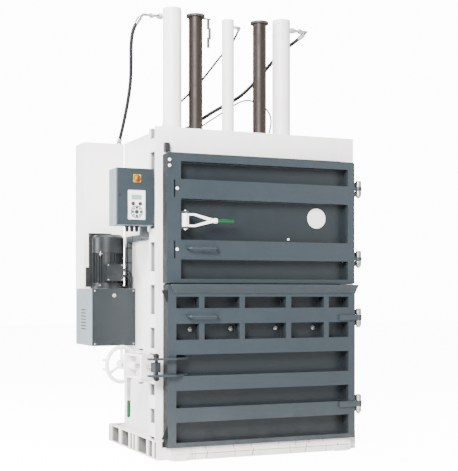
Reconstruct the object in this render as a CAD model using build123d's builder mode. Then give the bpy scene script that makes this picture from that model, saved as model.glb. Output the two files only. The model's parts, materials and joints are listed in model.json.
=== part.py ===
import os
from math import pi, radians, tan

from build123d import *

# Recycling baler: an upright press that squeezes card and film into bales.
# X runs to the right along the front, Y to the back and Z up. The origin is
# on the floor, straight under the ram axis. All sizes are in millimetres.

os.makedirs("parts", exist_ok=True)

# Driving sizes of the whole machine
chamber_half = 611.0
post_w = 100.0
frame_half = chamber_half + post_w
wall_t = 8.0
door_y = -595.0
rear_y = 413.0
side_top = 2107.0
post_top = 2095.0
deck_top = 2061.0
deck_t = 12.0
run_gap = 0.3
seat_gap = 0.5

# Base frame
base_h = 120.0
base_front = -535.0
base_rear = 500.0
base_skin = 9.0
base_edge = 12.0
sill_h = 78.0
sill_back = -500.0
apron_step = 57.0
apron_half = 640.0
foot_w = 92.0
foot_h = 38.0
foot_out = 20.0
anchor_x = frame_half - 46.0
anchor_y = 350.0
anchor_mid = 50.0
anchor_r = 9.0

# Base cells seen from the side, each from its front to its back
base_cells = [(-520, -471), (-440, -359), (-327, -134), (-95, -50), (-33, 19), (43, 214), (258, 436),
              (455, 488)]

# Front posts, open to the side and closed by batten plates
post_front = -501.0
post_back = -382.0
post_t = 10.0
web_t = 8.0
batten_h = 85.0
batten_zs = [184.0, 360.0, 588.0, 871.0, 1141.0, 1411.0, 1980.0]

# Crosshead
header_bottom = 1938.0
header_t = 12.0
beam_t = 15.0
beam_y = 125.0
beam_low = 1946.0

# Cylinders, rods and guide columns
cyl_x = 413.0
cyl_r = 63.0
cyl_bore = 53.0
cyl_top = 2985.0
cyl_low = 1965.0
mid_r = 41.5
mid_bore = 34.0
mid_top = 2948.0
gland_h = 40.0
cap_h = 25.0
flange_r = 86.0
flange_h = 20.0
rod_r = 32.0
mid_rod_r = 21.0
piston_h = 40.0
guide_x = 242.0
guide_r = 47.5
guide_top = 2944.0
guide_cap_r = 64.0
guide_cap_h = 15.0
bush_wall = 12.0
bush_flange = 22.0
bush_h = 20.0
flag_t = 3.0
flag_w = 20.0
flag_x = -guide_x + 98.0
flag_low = 2742.0

# Press platen
platen_x = chamber_half - 15.0
platen_front = -488.0
platen_back = 398.0
platen_low = 1720.0
platen_h = 180.0
platen_skin = 20.0
platen_wall = 12.0
spine_y = 95.0

# Bale ejector on the chamber floor
ejector_x = chamber_half - 41.0
ejector_front = -470.0
ejector_back = 385.0
ejector_t = 14.0

# Doors
door_half = frame_half - 43.0
skin_t = 6.0
tube_t = 5.0
upper_low = 1110.0
upper_high = 1922.0
upper_t = 75.0
upper_left_stile = 94.0
upper_right_stile = 50.0
upper_ribs = [(upper_low, 1136), (1258, 1380), (1638, 1760), (1871, upper_high)]
lower_low = 82.0
lower_high = 1100.0
lower_t = 90.0
lower_left_stile = 55.0
lower_right_stile = 50.0
lower_ribs = [(lower_low, 111), (238, 328), (436, 528), (662, 754), (855, 952), (1024, lower_high)]
divider_xs = [-434.0, -155.0, 176.0, 455.0]
divider_w = 36.0
lip_out = 50.0
lip_low = 1042.0
lip_high = 1104.0
lip_t = 6.0

# Door hinges on the right
hinge_x = frame_half - 11.0
hinge_y = -590.0
pin_r = 11.0
knuckle_r = 20.0
knuckle_h = 34.0
eye_r = 23.0
upper_hinge_zs = [1277.0, 1746.0]
lower_hinge_zs = [308.0, 884.0]
upper_arm_h = 24.0
lower_arm_h = 36.0
lower_arm_x = door_half - 122.0
arm_t = 14.0

# Latch of the upper door
latch_x = -door_half + 113.0
latch_z = 1502.0
latch_y = -622.0
latch_pin_r = 7.0
latch_t = 12.0
fork_half = 42.0
latch_collar_x = latch_x + 193.0
grip_r = 12.0
grip_start = latch_collar_x + 19.0
grip_len = 120.0

# Grab bows on the doors
bow_x0 = -door_half + 136.0
bow_x1 = bow_x0 + 194.0
bow_r = 7.0
bow_out = 44.0
upper_bow_z = 1327.0
lower_bow_z = 902.0

# Screw lock of the lower door
lock_x = -frame_half - 25.0
lock_z = 587.0
lock_dir = Vector(-0.2824, 0.9593, 0)
lock_side = Vector(0.9593, 0.2824, 0)
lug_gap = 46.0
lug_t = 12.0
lug_left = lock_x - 57.0
lug_tip = -door_half + 150.0
lug_out = 45.0
nut_h = 15.0
spindle_r = 12.0
pivot_at = 165.0
pivot_r = 9.0
plate_half = 45.0
front_plate = (97.0, 111.0)
rear_plate = (284.0, 296.0)
yoke_z = 64.0
yoke_t = 12.0
boss_r = 25.0
boss_at = 213.0
wheel_at = 384.0
wheel_r = 125.0
rim_r = 13.0
hub_r = 30.0

# Control cabinet on the left post
cab_x1 = -frame_half
cab_x0 = cab_x1 - 247.0
cab_y0 = -476.0
cab_y1 = -324.0
cab_z0 = 1472.0
cab_z1 = 1826.0
sheet_t = 2.0
cab_door_t = 18.0
keypad_x = cab_x0 + 126.0
keypad_w = 112.0
keypad_z0 = 1505.0
keypad_z1 = 1688.0
keypad_t = 4.0
key_r = 10.5
key_z = 1604.0
key_dx = 23.0
pad_z = 1553.0
pad_r = 33.0
pad_hole = 14.0
ok_r = 13.6
key_proud = 2.5
key_travel = 1.0
switch_x = keypad_x + 3.0
switch_z = 1762.0
switch_half = 25.0

# Power pack on the left side
pack_x1 = -chamber_half - wall_t
pack_x0 = pack_x1 - 304.0
pack_y0 = 187.0
pack_y1 = 597.0
pack_z0 = 687.0
pack_z1 = 1079.0
pack_sheet = 3.0
pack_door_t = 18.0
cover_x0 = pack_x0 + 13.0
cover_y0 = 436.0
cover_y1 = 656.0
cover_top = 2107.0
motor_x = pack_x0 + 149.0
motor_y = 305.0
motor_r = 107.5
motor_low = 1096.0
motor_high = motor_low + 250.0
cowl_top = motor_high + 104.0
fin_count = 32
shaft_r = 14.0

# Hoses, as diameters
main_hose_d = 25.0
centre_hose_d = 15.0
thin_hose_d = 11.0
motor_cable_d = 12.0
port_z = 2925.0
mid_port_z = 2904.0
ferrule_wall = 3.0


def block(x0, x1, y0, y1, z0, z1, mode=Mode.ADD):
    """A square bar or plate between two corners."""
    with Locations(((x0 + x1) / 2, (y0 + y1) / 2, (z0 + z1) / 2)):
        Box(abs(x1 - x0), abs(y1 - y0), abs(z1 - z0), mode=mode)


def bar(start, direction, radius, length, mode=Mode.ADD):
    """A round bar, or a bore, from its start point."""
    with Locations(Plane(origin=start, z_dir=direction)):
        Cylinder(radius, length, align=(Align.CENTER, Align.CENTER, Align.MIN), mode=mode)


def pipe(start, end, radius):
    """A round bar from one point to another."""
    way = Vector(*end) - Vector(*start)
    bar(start, way, radius, way.length)


def hexagon(start, direction, radius, length):
    """A hexagon nut or bolt head."""
    with BuildSketch(Plane(origin=start, z_dir=direction)) as outline:
        RegularPolygon(radius, 6)
    extrude(outline.sketch, amount=length)


def save(piece, name):
    """Label one finished piece and write it."""
    piece.part.label = name
    export_step(piece.part, f"parts/{name}.step")


# Base frame: a plate box with cells across it, and the sill under the door
with BuildPart() as base_frame:
    block(-frame_half, frame_half, base_front, base_rear, 0, base_h)
    fillet(base_frame.edges().filter_by(Axis.Z).group_by(Axis.Y)[0], base_edge / 2)
    for cell_front, cell_back in base_cells:
        block(-frame_half, frame_half, cell_front, cell_back, base_skin, base_h - base_skin, Mode.SUBTRACT)
    notch_half = frame_half - 32
    block(-notch_half, notch_half, base_front, sill_back, sill_h, base_h, Mode.SUBTRACT)
    block(-apron_half, apron_half, door_y, base_front, 0, apron_step)
    block(-apron_half, apron_half, door_y + foot_out, base_front, apron_step, sill_h)
    for foot_x in (-580, 554):
        block(foot_x - foot_w / 2, foot_x + foot_w / 2, door_y - foot_out, door_y, 0, foot_h)
    for slot_x in (-500, -399, -206, -80, 114, 236, 332, 440):
        block(slot_x - 3, slot_x + 3, door_y + foot_out, door_y + foot_out + 10, apron_step, sill_h,
              Mode.SUBTRACT)
    with Locations((0, anchor_mid, 0)):
        with GridLocations(2 * anchor_x, 2 * anchor_y, 2, 2):
            Cylinder(anchor_r, base_h * 3, mode=Mode.SUBTRACT)
save(base_frame, "base_frame")

# Chamber walls: two side sheets and the rear sheet with its stiffeners
wall_out = chamber_half + wall_t
wall_front = post_front + post_t
with BuildPart() as chamber_walls:
    for side, wall_top in ((-1, side_top), (1, post_top)):
        block(side * chamber_half, side * wall_out, wall_front, rear_y + wall_t, base_h, wall_top)
    block(-chamber_half, chamber_half, rear_y, rear_y + wall_t, base_h, deck_top)
    for stiff_z in (420, 900, 1380, 1860):
        block(-chamber_half, chamber_half, rear_y + wall_t, rear_y + wall_t + 36, stiff_z, stiff_z + 70)
save(chamber_walls, "chamber_walls")

# Front posts: channels open to the side, closed by batten plates
with BuildPart() as front_posts:
    for side in (-1, 1):
        block(side * wall_out, side * (wall_out + web_t), wall_front, post_back, base_h, post_top)
        block(side * chamber_half, side * frame_half, post_front, wall_front, base_h, post_top)
        block(side * wall_out, side * frame_half, post_back - post_t, post_back, base_h, post_top)
        for batten_z in batten_zs:
            block(side * (frame_half - web_t), side * frame_half, wall_front, post_back - post_t,
                  batten_z - batten_h / 2, batten_z + batten_h / 2)
save(front_posts, "front_posts")

# Front header between the posts, with its lower flange
with BuildPart() as front_header:
    block(-chamber_half, chamber_half, post_front, post_front + header_t, header_bottom, post_top)
    block(-chamber_half, chamber_half, post_front + header_t, post_front + 60, header_bottom, beam_low)
save(front_header, "front_header")

# Top deck that carries the cylinders, with two cross beams under it
deck_front = post_front + header_t
deck_low = deck_top - deck_t
bush_r = guide_r + run_gap + bush_wall
with BuildPart() as top_deck:
    block(-chamber_half, chamber_half, deck_front, rear_y, deck_low, deck_top)
    for beam_side in (-1, 1):
        block(-chamber_half, chamber_half, beam_side * beam_y - beam_t / 2, beam_side * beam_y + beam_t / 2,
              beam_low, deck_low)
    for side in (-1, 1):
        bar((side * cyl_x, 0, deck_low - 1), (0, 0, 1), cyl_r + run_gap, deck_t + 2, Mode.SUBTRACT)
        bar((side * guide_x, 0, deck_low - 1), (0, 0, 1), bush_r + run_gap, deck_t + 2, Mode.SUBTRACT)
    bar((0, 0, deck_low - 1), (0, 0, 1), mid_r + run_gap, deck_t + 2, Mode.SUBTRACT)
    block(flag_x - flag_w, flag_x + flag_w, -flag_t - 3, flag_t + 3, deck_low - 1, deck_top + 1, Mode.SUBTRACT)
save(top_deck, "top_deck")

# Guide bushes with a flange on the deck
with BuildPart() as guide_bushes:
    for side in (-1, 1):
        bar((side * guide_x, 0, deck_low - bush_h), (0, 0, 1), bush_r, deck_t + 2 * bush_h)
        bar((side * guide_x, 0, deck_top), (0, 0, 1), guide_r + bush_flange, bush_h)
        bar((side * guide_x, 0, deck_low - bush_h - 1), (0, 0, 1), guide_r + run_gap, deck_t + 3 * bush_h,
            Mode.SUBTRACT)
save(guide_bushes, "guide_bushes")


def cylinder_tube(x, outer, bore, top, rod, boss_reach, boss_z):
    """One press cylinder: tube, end cap, rod gland, deck flange and port boss."""
    bar((x, 0, cyl_low), (0, 0, 1), outer, top - cyl_low)
    bar((x, 0, deck_top), (0, 0, 1), outer + flange_r - cyl_r, flange_h)
    bar((x, 0, boss_z), (boss_reach, 0, 0), outer / 4, outer + 12)
    bar((x, 0, cyl_low + gland_h), (0, 0, 1), bore, top - cyl_low - gland_h - cap_h, Mode.SUBTRACT)
    bar((x, 0, cyl_low - 1), (0, 0, 1), rod + run_gap, gland_h + 2, Mode.SUBTRACT)


# Press cylinders: two main ones and the centre one
with BuildPart() as press_cylinders:
    cylinder_tube(-cyl_x, cyl_r, cyl_bore, cyl_top, rod_r, -1, port_z)
    cylinder_tube(cyl_x, cyl_r, cyl_bore, cyl_top, rod_r, 1, port_z)
    cylinder_tube(0, mid_r, mid_bore, mid_top, mid_rod_r, 1, mid_port_z)
save(press_cylinders, "press_cylinders")

# Press platen: a ribbed plate with a closed spine under the rods
platen_top = platen_low + platen_h
with BuildPart() as press_platen:
    block(-platen_x, platen_x, platen_front, platen_back, platen_low, platen_top)
    for pocket_front, pocket_back in ((platen_front + platen_wall, -spine_y),
                                      (spine_y, platen_back - platen_wall)):
        rib_pitch = 2 * platen_x / 4
        for rib in range(4):
            block(-platen_x + rib * rib_pitch + platen_wall, -platen_x + (rib + 1) * rib_pitch - platen_wall,
                  pocket_front, pocket_back, platen_low + platen_skin, platen_top, Mode.SUBTRACT)
    block(-platen_x, platen_x, platen_wall - spine_y, spine_y - platen_wall,
          platen_low + platen_skin, platen_top - platen_skin, Mode.SUBTRACT)
save(press_platen, "press_platen")

# Piston rods with their pistons
with BuildPart() as piston_rods:
    for rod_x, rod, piston, top in ((-cyl_x, rod_r, cyl_bore, cyl_top), (0, mid_rod_r, mid_bore, mid_top),
                                    (cyl_x, rod_r, cyl_bore, cyl_top)):
        piston_top = top - cap_h - 10
        bar((rod_x, 0, platen_top), (0, 0, 1), rod, piston_top - platen_top)
        bar((rod_x, 0, piston_top - piston_h), (0, 0, 1), piston - run_gap, piston_h)
save(piston_rods, "piston_rods")

# Guide columns that keep the platen level
with BuildPart() as guide_columns:
    for side in (-1, 1):
        bar((side * guide_x, 0, platen_top), (0, 0, 1), guide_r, guide_top - platen_top)
save(guide_columns, "guide_columns")

# Caps on the guide columns
with BuildPart() as guide_caps:
    for side in (-1, 1):
        bar((side * guide_x, 0, guide_top), (0, 0, 1), guide_cap_r, guide_cap_h)
save(guide_caps, "guide_caps")

# Stepped flag under the left column's cap, which tells the height of the platen
with BuildPart() as switch_flag:
    block(-guide_x + guide_r + 3, flag_x + flag_w - 4, -12, 12, guide_top - 5, guide_top)
    block(flag_x - 14, flag_x + 6, -flag_t / 2, flag_t / 2, guide_top - 74, guide_top - 5)
    block(flag_x - 4, flag_x + 16, -flag_t / 2, flag_t / 2, flag_low + 60, guide_top - 62)
    block(flag_x - 14, flag_x + 6, -flag_t / 2, flag_t / 2, flag_low, flag_low + 72)
save(switch_flag, "switch_flag")

# Bale ejector: a flat plate hinged at the front of the floor
with BuildPart() as ejector_plate:
    block(-ejector_x, ejector_x, ejector_front, ejector_back, base_h + seat_gap,
          base_h + seat_gap + ejector_t)
    fillet(ejector_plate.edges().filter_by(Axis.X).group_by(Axis.Y)[0], ejector_t * 0.46)
save(ejector_plate, "ejector_plate")


def door_box(left, right, depth, ribs, stile_left, stile_right, top):
    """A door of square tube: skin at the back, stiles and ribs in front, tubes hollow and joined."""
    low = ribs[0][0]
    skin_y = door_y + depth - skin_t
    block(left, right, skin_y, door_y + depth, low, top)
    block(left, left + stile_left, door_y, skin_y, low, top)
    block(right - stile_right, right, door_y, skin_y, low, top)
    for rib_low, rib_high in ribs:
        block(left + stile_left, right - stile_right, door_y, skin_y, rib_low, rib_high)


def door_hollow(left, right, depth, ribs, stile_left, stile_right, top):
    """The hollow of the tubes, open at the foot of each stile."""
    inner_y0 = door_y + tube_t
    inner_y1 = door_y + depth - skin_t
    block(left + tube_t, left + stile_left - tube_t, inner_y0, inner_y1, ribs[0][0], top - tube_t,
          Mode.SUBTRACT)
    block(right - stile_right + tube_t, right - tube_t, inner_y0, inner_y1, ribs[0][0], top - tube_t,
          Mode.SUBTRACT)
    for rib_low, rib_high in ribs:
        block(left + tube_t, right - tube_t, inner_y0, inner_y1, rib_low + tube_t, rib_high - tube_t,
              Mode.SUBTRACT)


# Upper door with the lugs of its latch
latch_lug = fork_half + 1.5
with BuildPart() as upper_door:
    door_box(-door_half, door_half, upper_t, upper_ribs, upper_left_stile, upper_right_stile, upper_high)
    fillet(upper_door.edges().filter_by(Axis.Y).group_by(Axis.Z)[-1], 14)
    door_hollow(-door_half, door_half, upper_t, upper_ribs, upper_left_stile, upper_right_stile, upper_high)
    mount_left = -door_half + upper_left_stile
    block(mount_left, latch_x + 33, door_y - 2, door_y + upper_t - skin_t, latch_z - latch_lug - 14,
          latch_z + latch_lug + 14)
    for side in (-1, 1):
        block(latch_x - 18, latch_x + 18, latch_y - 16, door_y - 2,
              latch_z + side * latch_lug, latch_z + side * (latch_lug + 10))
    bar((latch_x, latch_y, latch_z - latch_lug - 16), (0, 0, 1), latch_pin_r, 2 * latch_lug + 32)
    for slot_low, slot_high in upper_ribs[1:3]:
        block(-door_half + 48, -door_half + 56, door_y - 1, door_y + tube_t + 1,
              slot_low + 6, slot_high - 6, Mode.SUBTRACT)
save(upper_door, "upper_door")

# Latch lever: a fork of flat bar that ends in a collar
with BuildPart() as latch_lever:
    with BuildSketch(Plane.XZ.offset(-latch_y - latch_t / 2)):
        with BuildLine():
            Polyline((latch_x - 20, latch_z - fork_half), (latch_x + 62, latch_z - fork_half),
                     (latch_collar_x, latch_z - 10), (latch_collar_x, latch_z + 10),
                     (latch_x + 62, latch_z + fork_half), (latch_x - 20, latch_z + fork_half), close=True)
        make_face()
        with BuildLine():
            Polyline((latch_x + 20, latch_z - fork_half + 13), (latch_x + 58, latch_z - fork_half + 13),
                     (latch_collar_x - 40, latch_z), (latch_x + 58, latch_z + fork_half - 13),
                     (latch_x + 20, latch_z + fork_half - 13), close=True)
        make_face(mode=Mode.SUBTRACT)
    extrude(amount=latch_t)
    bar((latch_x, latch_y, latch_z - fork_half), (0, 0, 1), latch_t + 2, 2 * fork_half)
    bar((latch_collar_x, latch_y, latch_z), (1, 0, 0), grip_r + 4, grip_start - latch_collar_x)
    bar((latch_x, latch_y, latch_z - fork_half - 1), (0, 0, 1), latch_pin_r + run_gap, 2 * fork_half + 2,
        Mode.SUBTRACT)
save(latch_lever, "latch_lever")

# Grip on the latch lever
with BuildPart() as latch_grip:
    bar((grip_start, latch_y, latch_z), (1, 0, 0), grip_r, grip_len)
    fillet(latch_grip.edges().group_by(Axis.X)[-1], grip_r * 0.6)
save(latch_grip, "latch_grip")


def bow(z):
    """The path of a grab bow, from the door face and back to it."""
    return FilletPolyline((bow_x0, door_y, z), (bow_x0, door_y - bow_out, z), (bow_x1, door_y - bow_out, z),
                          (bow_x1, door_y, z), radius=18)


# Grab bow of the upper door
with BuildPart() as upper_grab_bow:
    with BuildLine() as upper_bow_path:
        bow(upper_bow_z)
    with BuildSketch(Plane(origin=upper_bow_path.line @ 0, z_dir=upper_bow_path.line % 0)):
        Circle(bow_r)
    sweep(path=upper_bow_path.line)
save(upper_grab_bow, "upper_grab_bow")

# Grab bow of the lower door
with BuildPart() as lower_grab_bow:
    with BuildLine() as lower_bow_path:
        bow(lower_bow_z)
    with BuildSketch(Plane(origin=lower_bow_path.line @ 0, z_dir=lower_bow_path.line % 0)):
        Circle(bow_r)
    sweep(path=lower_bow_path.line)
save(lower_grab_bow, "lower_grab_bow")

# Lower door with its window rows and flared lip
lower_left = -door_half + 8
lower_right = door_half + 4
lower_skin = door_y + lower_t - skin_t
with BuildPart() as lower_door:
    door_box(lower_left, lower_right, lower_t, lower_ribs, lower_left_stile, lower_right_stile, lower_high)
    for divider_x in divider_xs:
        block(divider_x - divider_w / 2, divider_x + divider_w / 2, door_y, lower_skin, lower_ribs[3][1],
              lower_ribs[4][0])
        block(divider_x - divider_w / 2, divider_x + divider_w / 2, door_y, lower_skin, lower_ribs[4][1],
              lower_ribs[5][0])
    door_hollow(lower_left, lower_right, lower_t, lower_ribs, lower_left_stile, lower_right_stile, lower_high)
    for divider_x in divider_xs:
        block(divider_x - divider_w / 2 + tube_t, divider_x + divider_w / 2 - tube_t, door_y + tube_t,
              lower_skin,
              lower_ribs[3][1] - tube_t, lower_ribs[5][0] + tube_t, Mode.SUBTRACT)
    with BuildSketch(Plane.YZ.offset(lower_left + 8)):
        with BuildLine():
            Polyline((door_y, lip_low), (door_y - lip_out, lip_high - lip_t), (door_y - lip_out, lip_high),
                     (door_y - lip_out + lip_t, lip_high), (door_y, lip_low + 2 * lip_t), close=True)
        make_face()
    extrude(amount=lower_right - lower_left - 8)
    with BuildSketch(Plane.XZ.offset(-door_y)):
        with BuildLine():
            Polyline((lower_left, lip_low - 4), (lower_left + 46, lip_low - 4), (lower_left, lip_high),
                     close=True)
        make_face()
    extrude(amount=lip_out + 2, mode=Mode.SUBTRACT)
save(lower_door, "lower_door")


def hinge_eye(z, height, reach, bar_out):
    """A door's hinge arm: a flat bar that ends in an eye round the pin."""
    bar((hinge_x, hinge_y, z - height / 2), (0, 0, 1), eye_r, height)
    block(reach, hinge_x, door_y - bar_out, door_y + arm_t * 1.4 - bar_out, z - height / 2, z + height / 2)
    bar((hinge_x, hinge_y, z - height), (0, 0, 1), pin_r + run_gap, 2 * height, Mode.SUBTRACT)


# Hinge arms of the upper door, on its right edge
with BuildPart() as upper_hinge_arms:
    for hinge_z in upper_hinge_zs:
        hinge_eye(hinge_z, upper_arm_h, door_half, 0)
save(upper_hinge_arms, "upper_hinge_arms")

# Hinge arms of the lower door, flat bars across its front
with BuildPart() as lower_hinge_arms:
    for hinge_z in lower_hinge_zs:
        bar((hinge_x, hinge_y, hinge_z - lower_arm_h / 2), (0, 0, 1), eye_r, lower_arm_h)
        block(lower_arm_x, hinge_x, door_y - arm_t, door_y, hinge_z - lower_arm_h / 2,
              hinge_z + lower_arm_h / 2)
        bar((hinge_x, hinge_y, hinge_z - lower_arm_h), (0, 0, 1), pin_r + run_gap, 2 * lower_arm_h,
            Mode.SUBTRACT)
save(lower_hinge_arms, "lower_hinge_arms")


def hinge_bracket(z, arm_height):
    """The fixed half of a hinge: two knuckles, their arms from the post, the pin and its nut."""
    half = arm_height / 2 + seat_gap
    for side in (-1, 1):
        low = z + half if side > 0 else z - half - knuckle_h
        bar((hinge_x, hinge_y, low), (0, 0, 1), knuckle_r, knuckle_h)
        block(hinge_x - 9, frame_half, hinge_y, post_front, low, low + knuckle_h)
    block(hinge_x - 9, frame_half, post_front - 12, post_front, z - half, z + half)
    bar((hinge_x, hinge_y, z - half - knuckle_h - 14), (0, 0, 1), pin_r, 2 * half + 2 * knuckle_h + 18)
    hexagon((hinge_x, hinge_y, z - half - knuckle_h), (0, 0, -1), pin_r * 1.6, 10)


# Hinge brackets on the right post
with BuildPart() as hinge_brackets:
    for hinge_z in upper_hinge_zs:
        hinge_bracket(hinge_z, upper_arm_h)
    for hinge_z in lower_hinge_zs:
        hinge_bracket(hinge_z, lower_arm_h)
save(hinge_brackets, "hinge_brackets")

# Lugs on the lower door that hold the lock pin
with BuildPart() as lock_lugs:
    for lug_low in (lock_z + lug_gap, lock_z - lug_gap - lug_t):
        with BuildSketch(Plane.XY.offset(lug_low)):
            with BuildLine():
                Polyline((lug_left, door_y - lug_out), (lower_left + 40, door_y - lug_out),
                         (lug_tip, door_y + 24),
                         (lug_tip, lower_skin), (lower_left + lower_left_stile, lower_skin),
                         (lower_left + lower_left_stile, door_y), (lower_left - 10, door_y),
                         (lock_x + 10, door_y + 32), (lug_left, door_y + 32), close=True)
            make_face()
            fillet(vertices().group_by(Axis.X)[0], 28)
        extrude(amount=lug_t)
    bar((lock_x, door_y, lock_z - 2 * lug_gap), (0, 0, 1), pin_r + run_gap, 4 * lug_gap, Mode.SUBTRACT)
save(lock_lugs, "lock_lugs")

# Lock pin through the lugs, with its nuts
with BuildPart() as lock_pin:
    bar((lock_x, door_y, lock_z - lug_gap - lug_t - nut_h - 5), (0, 0, 1), pin_r,
        2 * (lug_gap + lug_t + nut_h + 5))
    hexagon((lock_x, door_y, lock_z + lug_gap + lug_t), (0, 0, 1), pin_r * 1.6, nut_h)
    hexagon((lock_x, door_y, lock_z - lug_gap - lug_t), (0, 0, -1), pin_r * 1.6, nut_h)
save(lock_pin, "lock_pin")

# Everything of the screw lock is laid out along its spindle, back from the pin
lock_plane = Plane(origin=(lock_x, door_y, lock_z), x_dir=lock_side, z_dir=(0, 0, 1))

# Trunnion on the lock pin, the nut that takes the spindle
with BuildPart(lock_plane) as lock_trunnion:
    with Locations((0, 8, 0)):
        Box(44, 50, 60)
    fillet(lock_trunnion.edges().filter_by(Axis.Z), 6)
    with Locations((0, 0, 0)):
        Cylinder(pin_r + run_gap, 100, mode=Mode.SUBTRACT)
    with Locations(Location((0, 26, 0), (90, 0, 0))):
        Cylinder(spindle_r + 0.8, 16, mode=Mode.SUBTRACT)
save(lock_trunnion, "lock_trunnion")

# Lock housing: two end plates, an upper and a lower bar and the spindle's tube
with BuildPart(lock_plane) as lock_housing:
    block(-plate_half, plate_half, front_plate[0], front_plate[1], -yoke_z - yoke_t, yoke_z + yoke_t)
    block(-plate_half, plate_half, rear_plate[0], rear_plate[1], -yoke_z - yoke_t - 4, yoke_z + yoke_t + 4)
    fillet(lock_housing.edges().filter_by(Axis(origin=(0, 0, 0), direction=lock_dir)), 14)
    for side in (-1, 1):
        block(-26, 26, front_plate[1], rear_plate[0], side * yoke_z, side * (yoke_z + yoke_t))
    with Locations(Location((0, (boss_at + rear_plate[0]) / 2, 0), (90, 0, 0))):
        Cylinder(boss_r, rear_plate[0] - boss_at)
    with Locations(Location((0, (front_plate[0] + rear_plate[1]) / 2, 0), (90, 0, 0))):
        Cylinder(spindle_r + run_gap, rear_plate[1] - front_plate[0] + 40, mode=Mode.SUBTRACT)
    with Locations((0, pivot_at, 0)):
        Cylinder(pivot_r + run_gap, 4 * yoke_z, mode=Mode.SUBTRACT)
    with Locations(Location((0, rear_plate[1] + 7, -62), (90, 0, 0))):
        Cylinder(6, 14)
    with Locations(Location((0, rear_plate[1] + 16, -62), (90, 0, 0))):
        Cylinder(11, 5)
save(lock_housing, "lock_housing")

# Lock bracket on the left post, with the two pivot bolts
pivot = lock_plane.from_local_coords((0, pivot_at, 0))
with BuildPart() as lock_bracket:
    for side in (-1, 1):
        arm_low = yoke_z + yoke_t + 6
        block(-frame_half - 8, -frame_half, post_front + 6, post_back - 12,
              lock_z + side * (arm_low - 2), lock_z + side * (arm_low + 30))
        block(pivot.X - 24, -frame_half - 8, pivot.Y - 26, pivot.Y + 26,
              lock_z + side * arm_low, lock_z + side * (arm_low + 12))
        bar((pivot.X, pivot.Y, lock_z + side * (yoke_z - 3)), (0, 0, side), pivot_r, arm_low + 14 - yoke_z)
        hexagon((pivot.X, pivot.Y, lock_z + side * (arm_low + 12)), (0, 0, side), pivot_r * 1.6, 9)
save(lock_bracket, "lock_bracket")

# Lock spindle
with BuildPart(lock_plane) as lock_spindle:
    with Locations(Location((0, (40 + wheel_at - 14) / 2, 0), (90, 0, 0))):
        Cylinder(spindle_r, wheel_at - 14 - 40)
save(lock_spindle, "lock_spindle")

# Handwheel with three spokes, a domed hub and two pegs
with BuildPart(lock_plane) as handwheel:
    with BuildSketch(lock_plane) as rim:
        with Locations((wheel_r - rim_r, wheel_at)):
            RegularPolygon(rim_r, 16, rotation=11.25)
    revolve(rim.sketch, axis=Axis(lock_plane.from_local_coords((0, wheel_at, 0)), lock_dir))
    with Locations(Location((0, wheel_at + 2, 0), (90, 0, 0))):
        Cylinder(hub_r, 32)
    with Locations((0, wheel_at + 18, 0)):
        Sphere(hub_r * 0.9)
    for spoke_angle in (90, 210, 330):
        with Locations(Location((0, wheel_at, 0), (0, -spoke_angle, 0))):
            with Locations(((hub_r + wheel_r - rim_r) / 2, 0, 0)):
                Box(wheel_r - rim_r - hub_r + 16, 12, 22)
    for peg_angle in (165, 195):
        with Locations(Location((0, wheel_at, 0), (0, -peg_angle, 0))):
            with Locations(Location((wheel_r - rim_r - 1, rim_r + 12, 0), (90, 0, 0))):
                Cylinder(8, 56)
save(handwheel, "handwheel")

# Lever that hangs from the back of the lock housing
with BuildPart(lock_plane) as lock_lever:
    lever_y = rear_plate[1] + 3
    with BuildSketch(Plane(origin=lock_plane.from_local_coords((0, lever_y, 0)), x_dir=lock_side,
                           z_dir=-lock_dir)):
        with BuildLine():
            Polyline((-17, -46), (17, -46), (10, -226), (-10, -226), close=True)
        make_face()
    extrude(amount=-8)
    with Locations(Location((0, lever_y + 4, -62), (90, 0, 0))):
        Cylinder(6 + run_gap, 30, mode=Mode.SUBTRACT)
save(lock_lever, "lock_lever")

# Grip on the lock lever
with BuildPart(lock_plane) as lock_lever_grip:
    with Locations((0, lever_y + 4, -226 - 55)):
        Cylinder(grip_r, 110)
    fillet(lock_lever_grip.edges().group_by(Axis.Z)[0], grip_r * 0.6)
save(lock_lever_grip, "lock_lever_grip")

# Switch that watches the upper door
with BuildPart() as door_switch:
    block(-door_half + 12, -door_half + 44, post_front - 30, post_front, upper_high + 14, upper_high + 70)
    fillet(door_switch.edges().filter_by(Axis.Y), 4)
save(door_switch, "door_switch")

# Control cabinet, open at the front
with BuildPart() as control_cabinet:
    block(cab_x0, cab_x1, cab_y0, cab_y1, cab_z0, cab_z1)
    block(cab_x0 + sheet_t, cab_x1 - sheet_t, cab_y0, cab_y1 - sheet_t, cab_z0 + sheet_t, cab_z1 - sheet_t,
          Mode.SUBTRACT)
save(control_cabinet, "control_cabinet")

# Control door: a folded panel
cab_face = cab_y0 - seat_gap - cab_door_t
with BuildPart() as control_door:
    block(cab_x0 + 1, cab_x1 - 5, cab_face, cab_y0 - seat_gap, cab_z0 + 1, cab_z1 - 1)
    fillet(control_door.edges().filter_by(Axis.Z).group_by(Axis.Y)[0], 3)
    block(cab_x0 + 4, cab_x1 - 8, cab_face + sheet_t, cab_y0, cab_z0 + 4, cab_z1 - 4, Mode.SUBTRACT)
save(control_door, "control_door")

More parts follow.
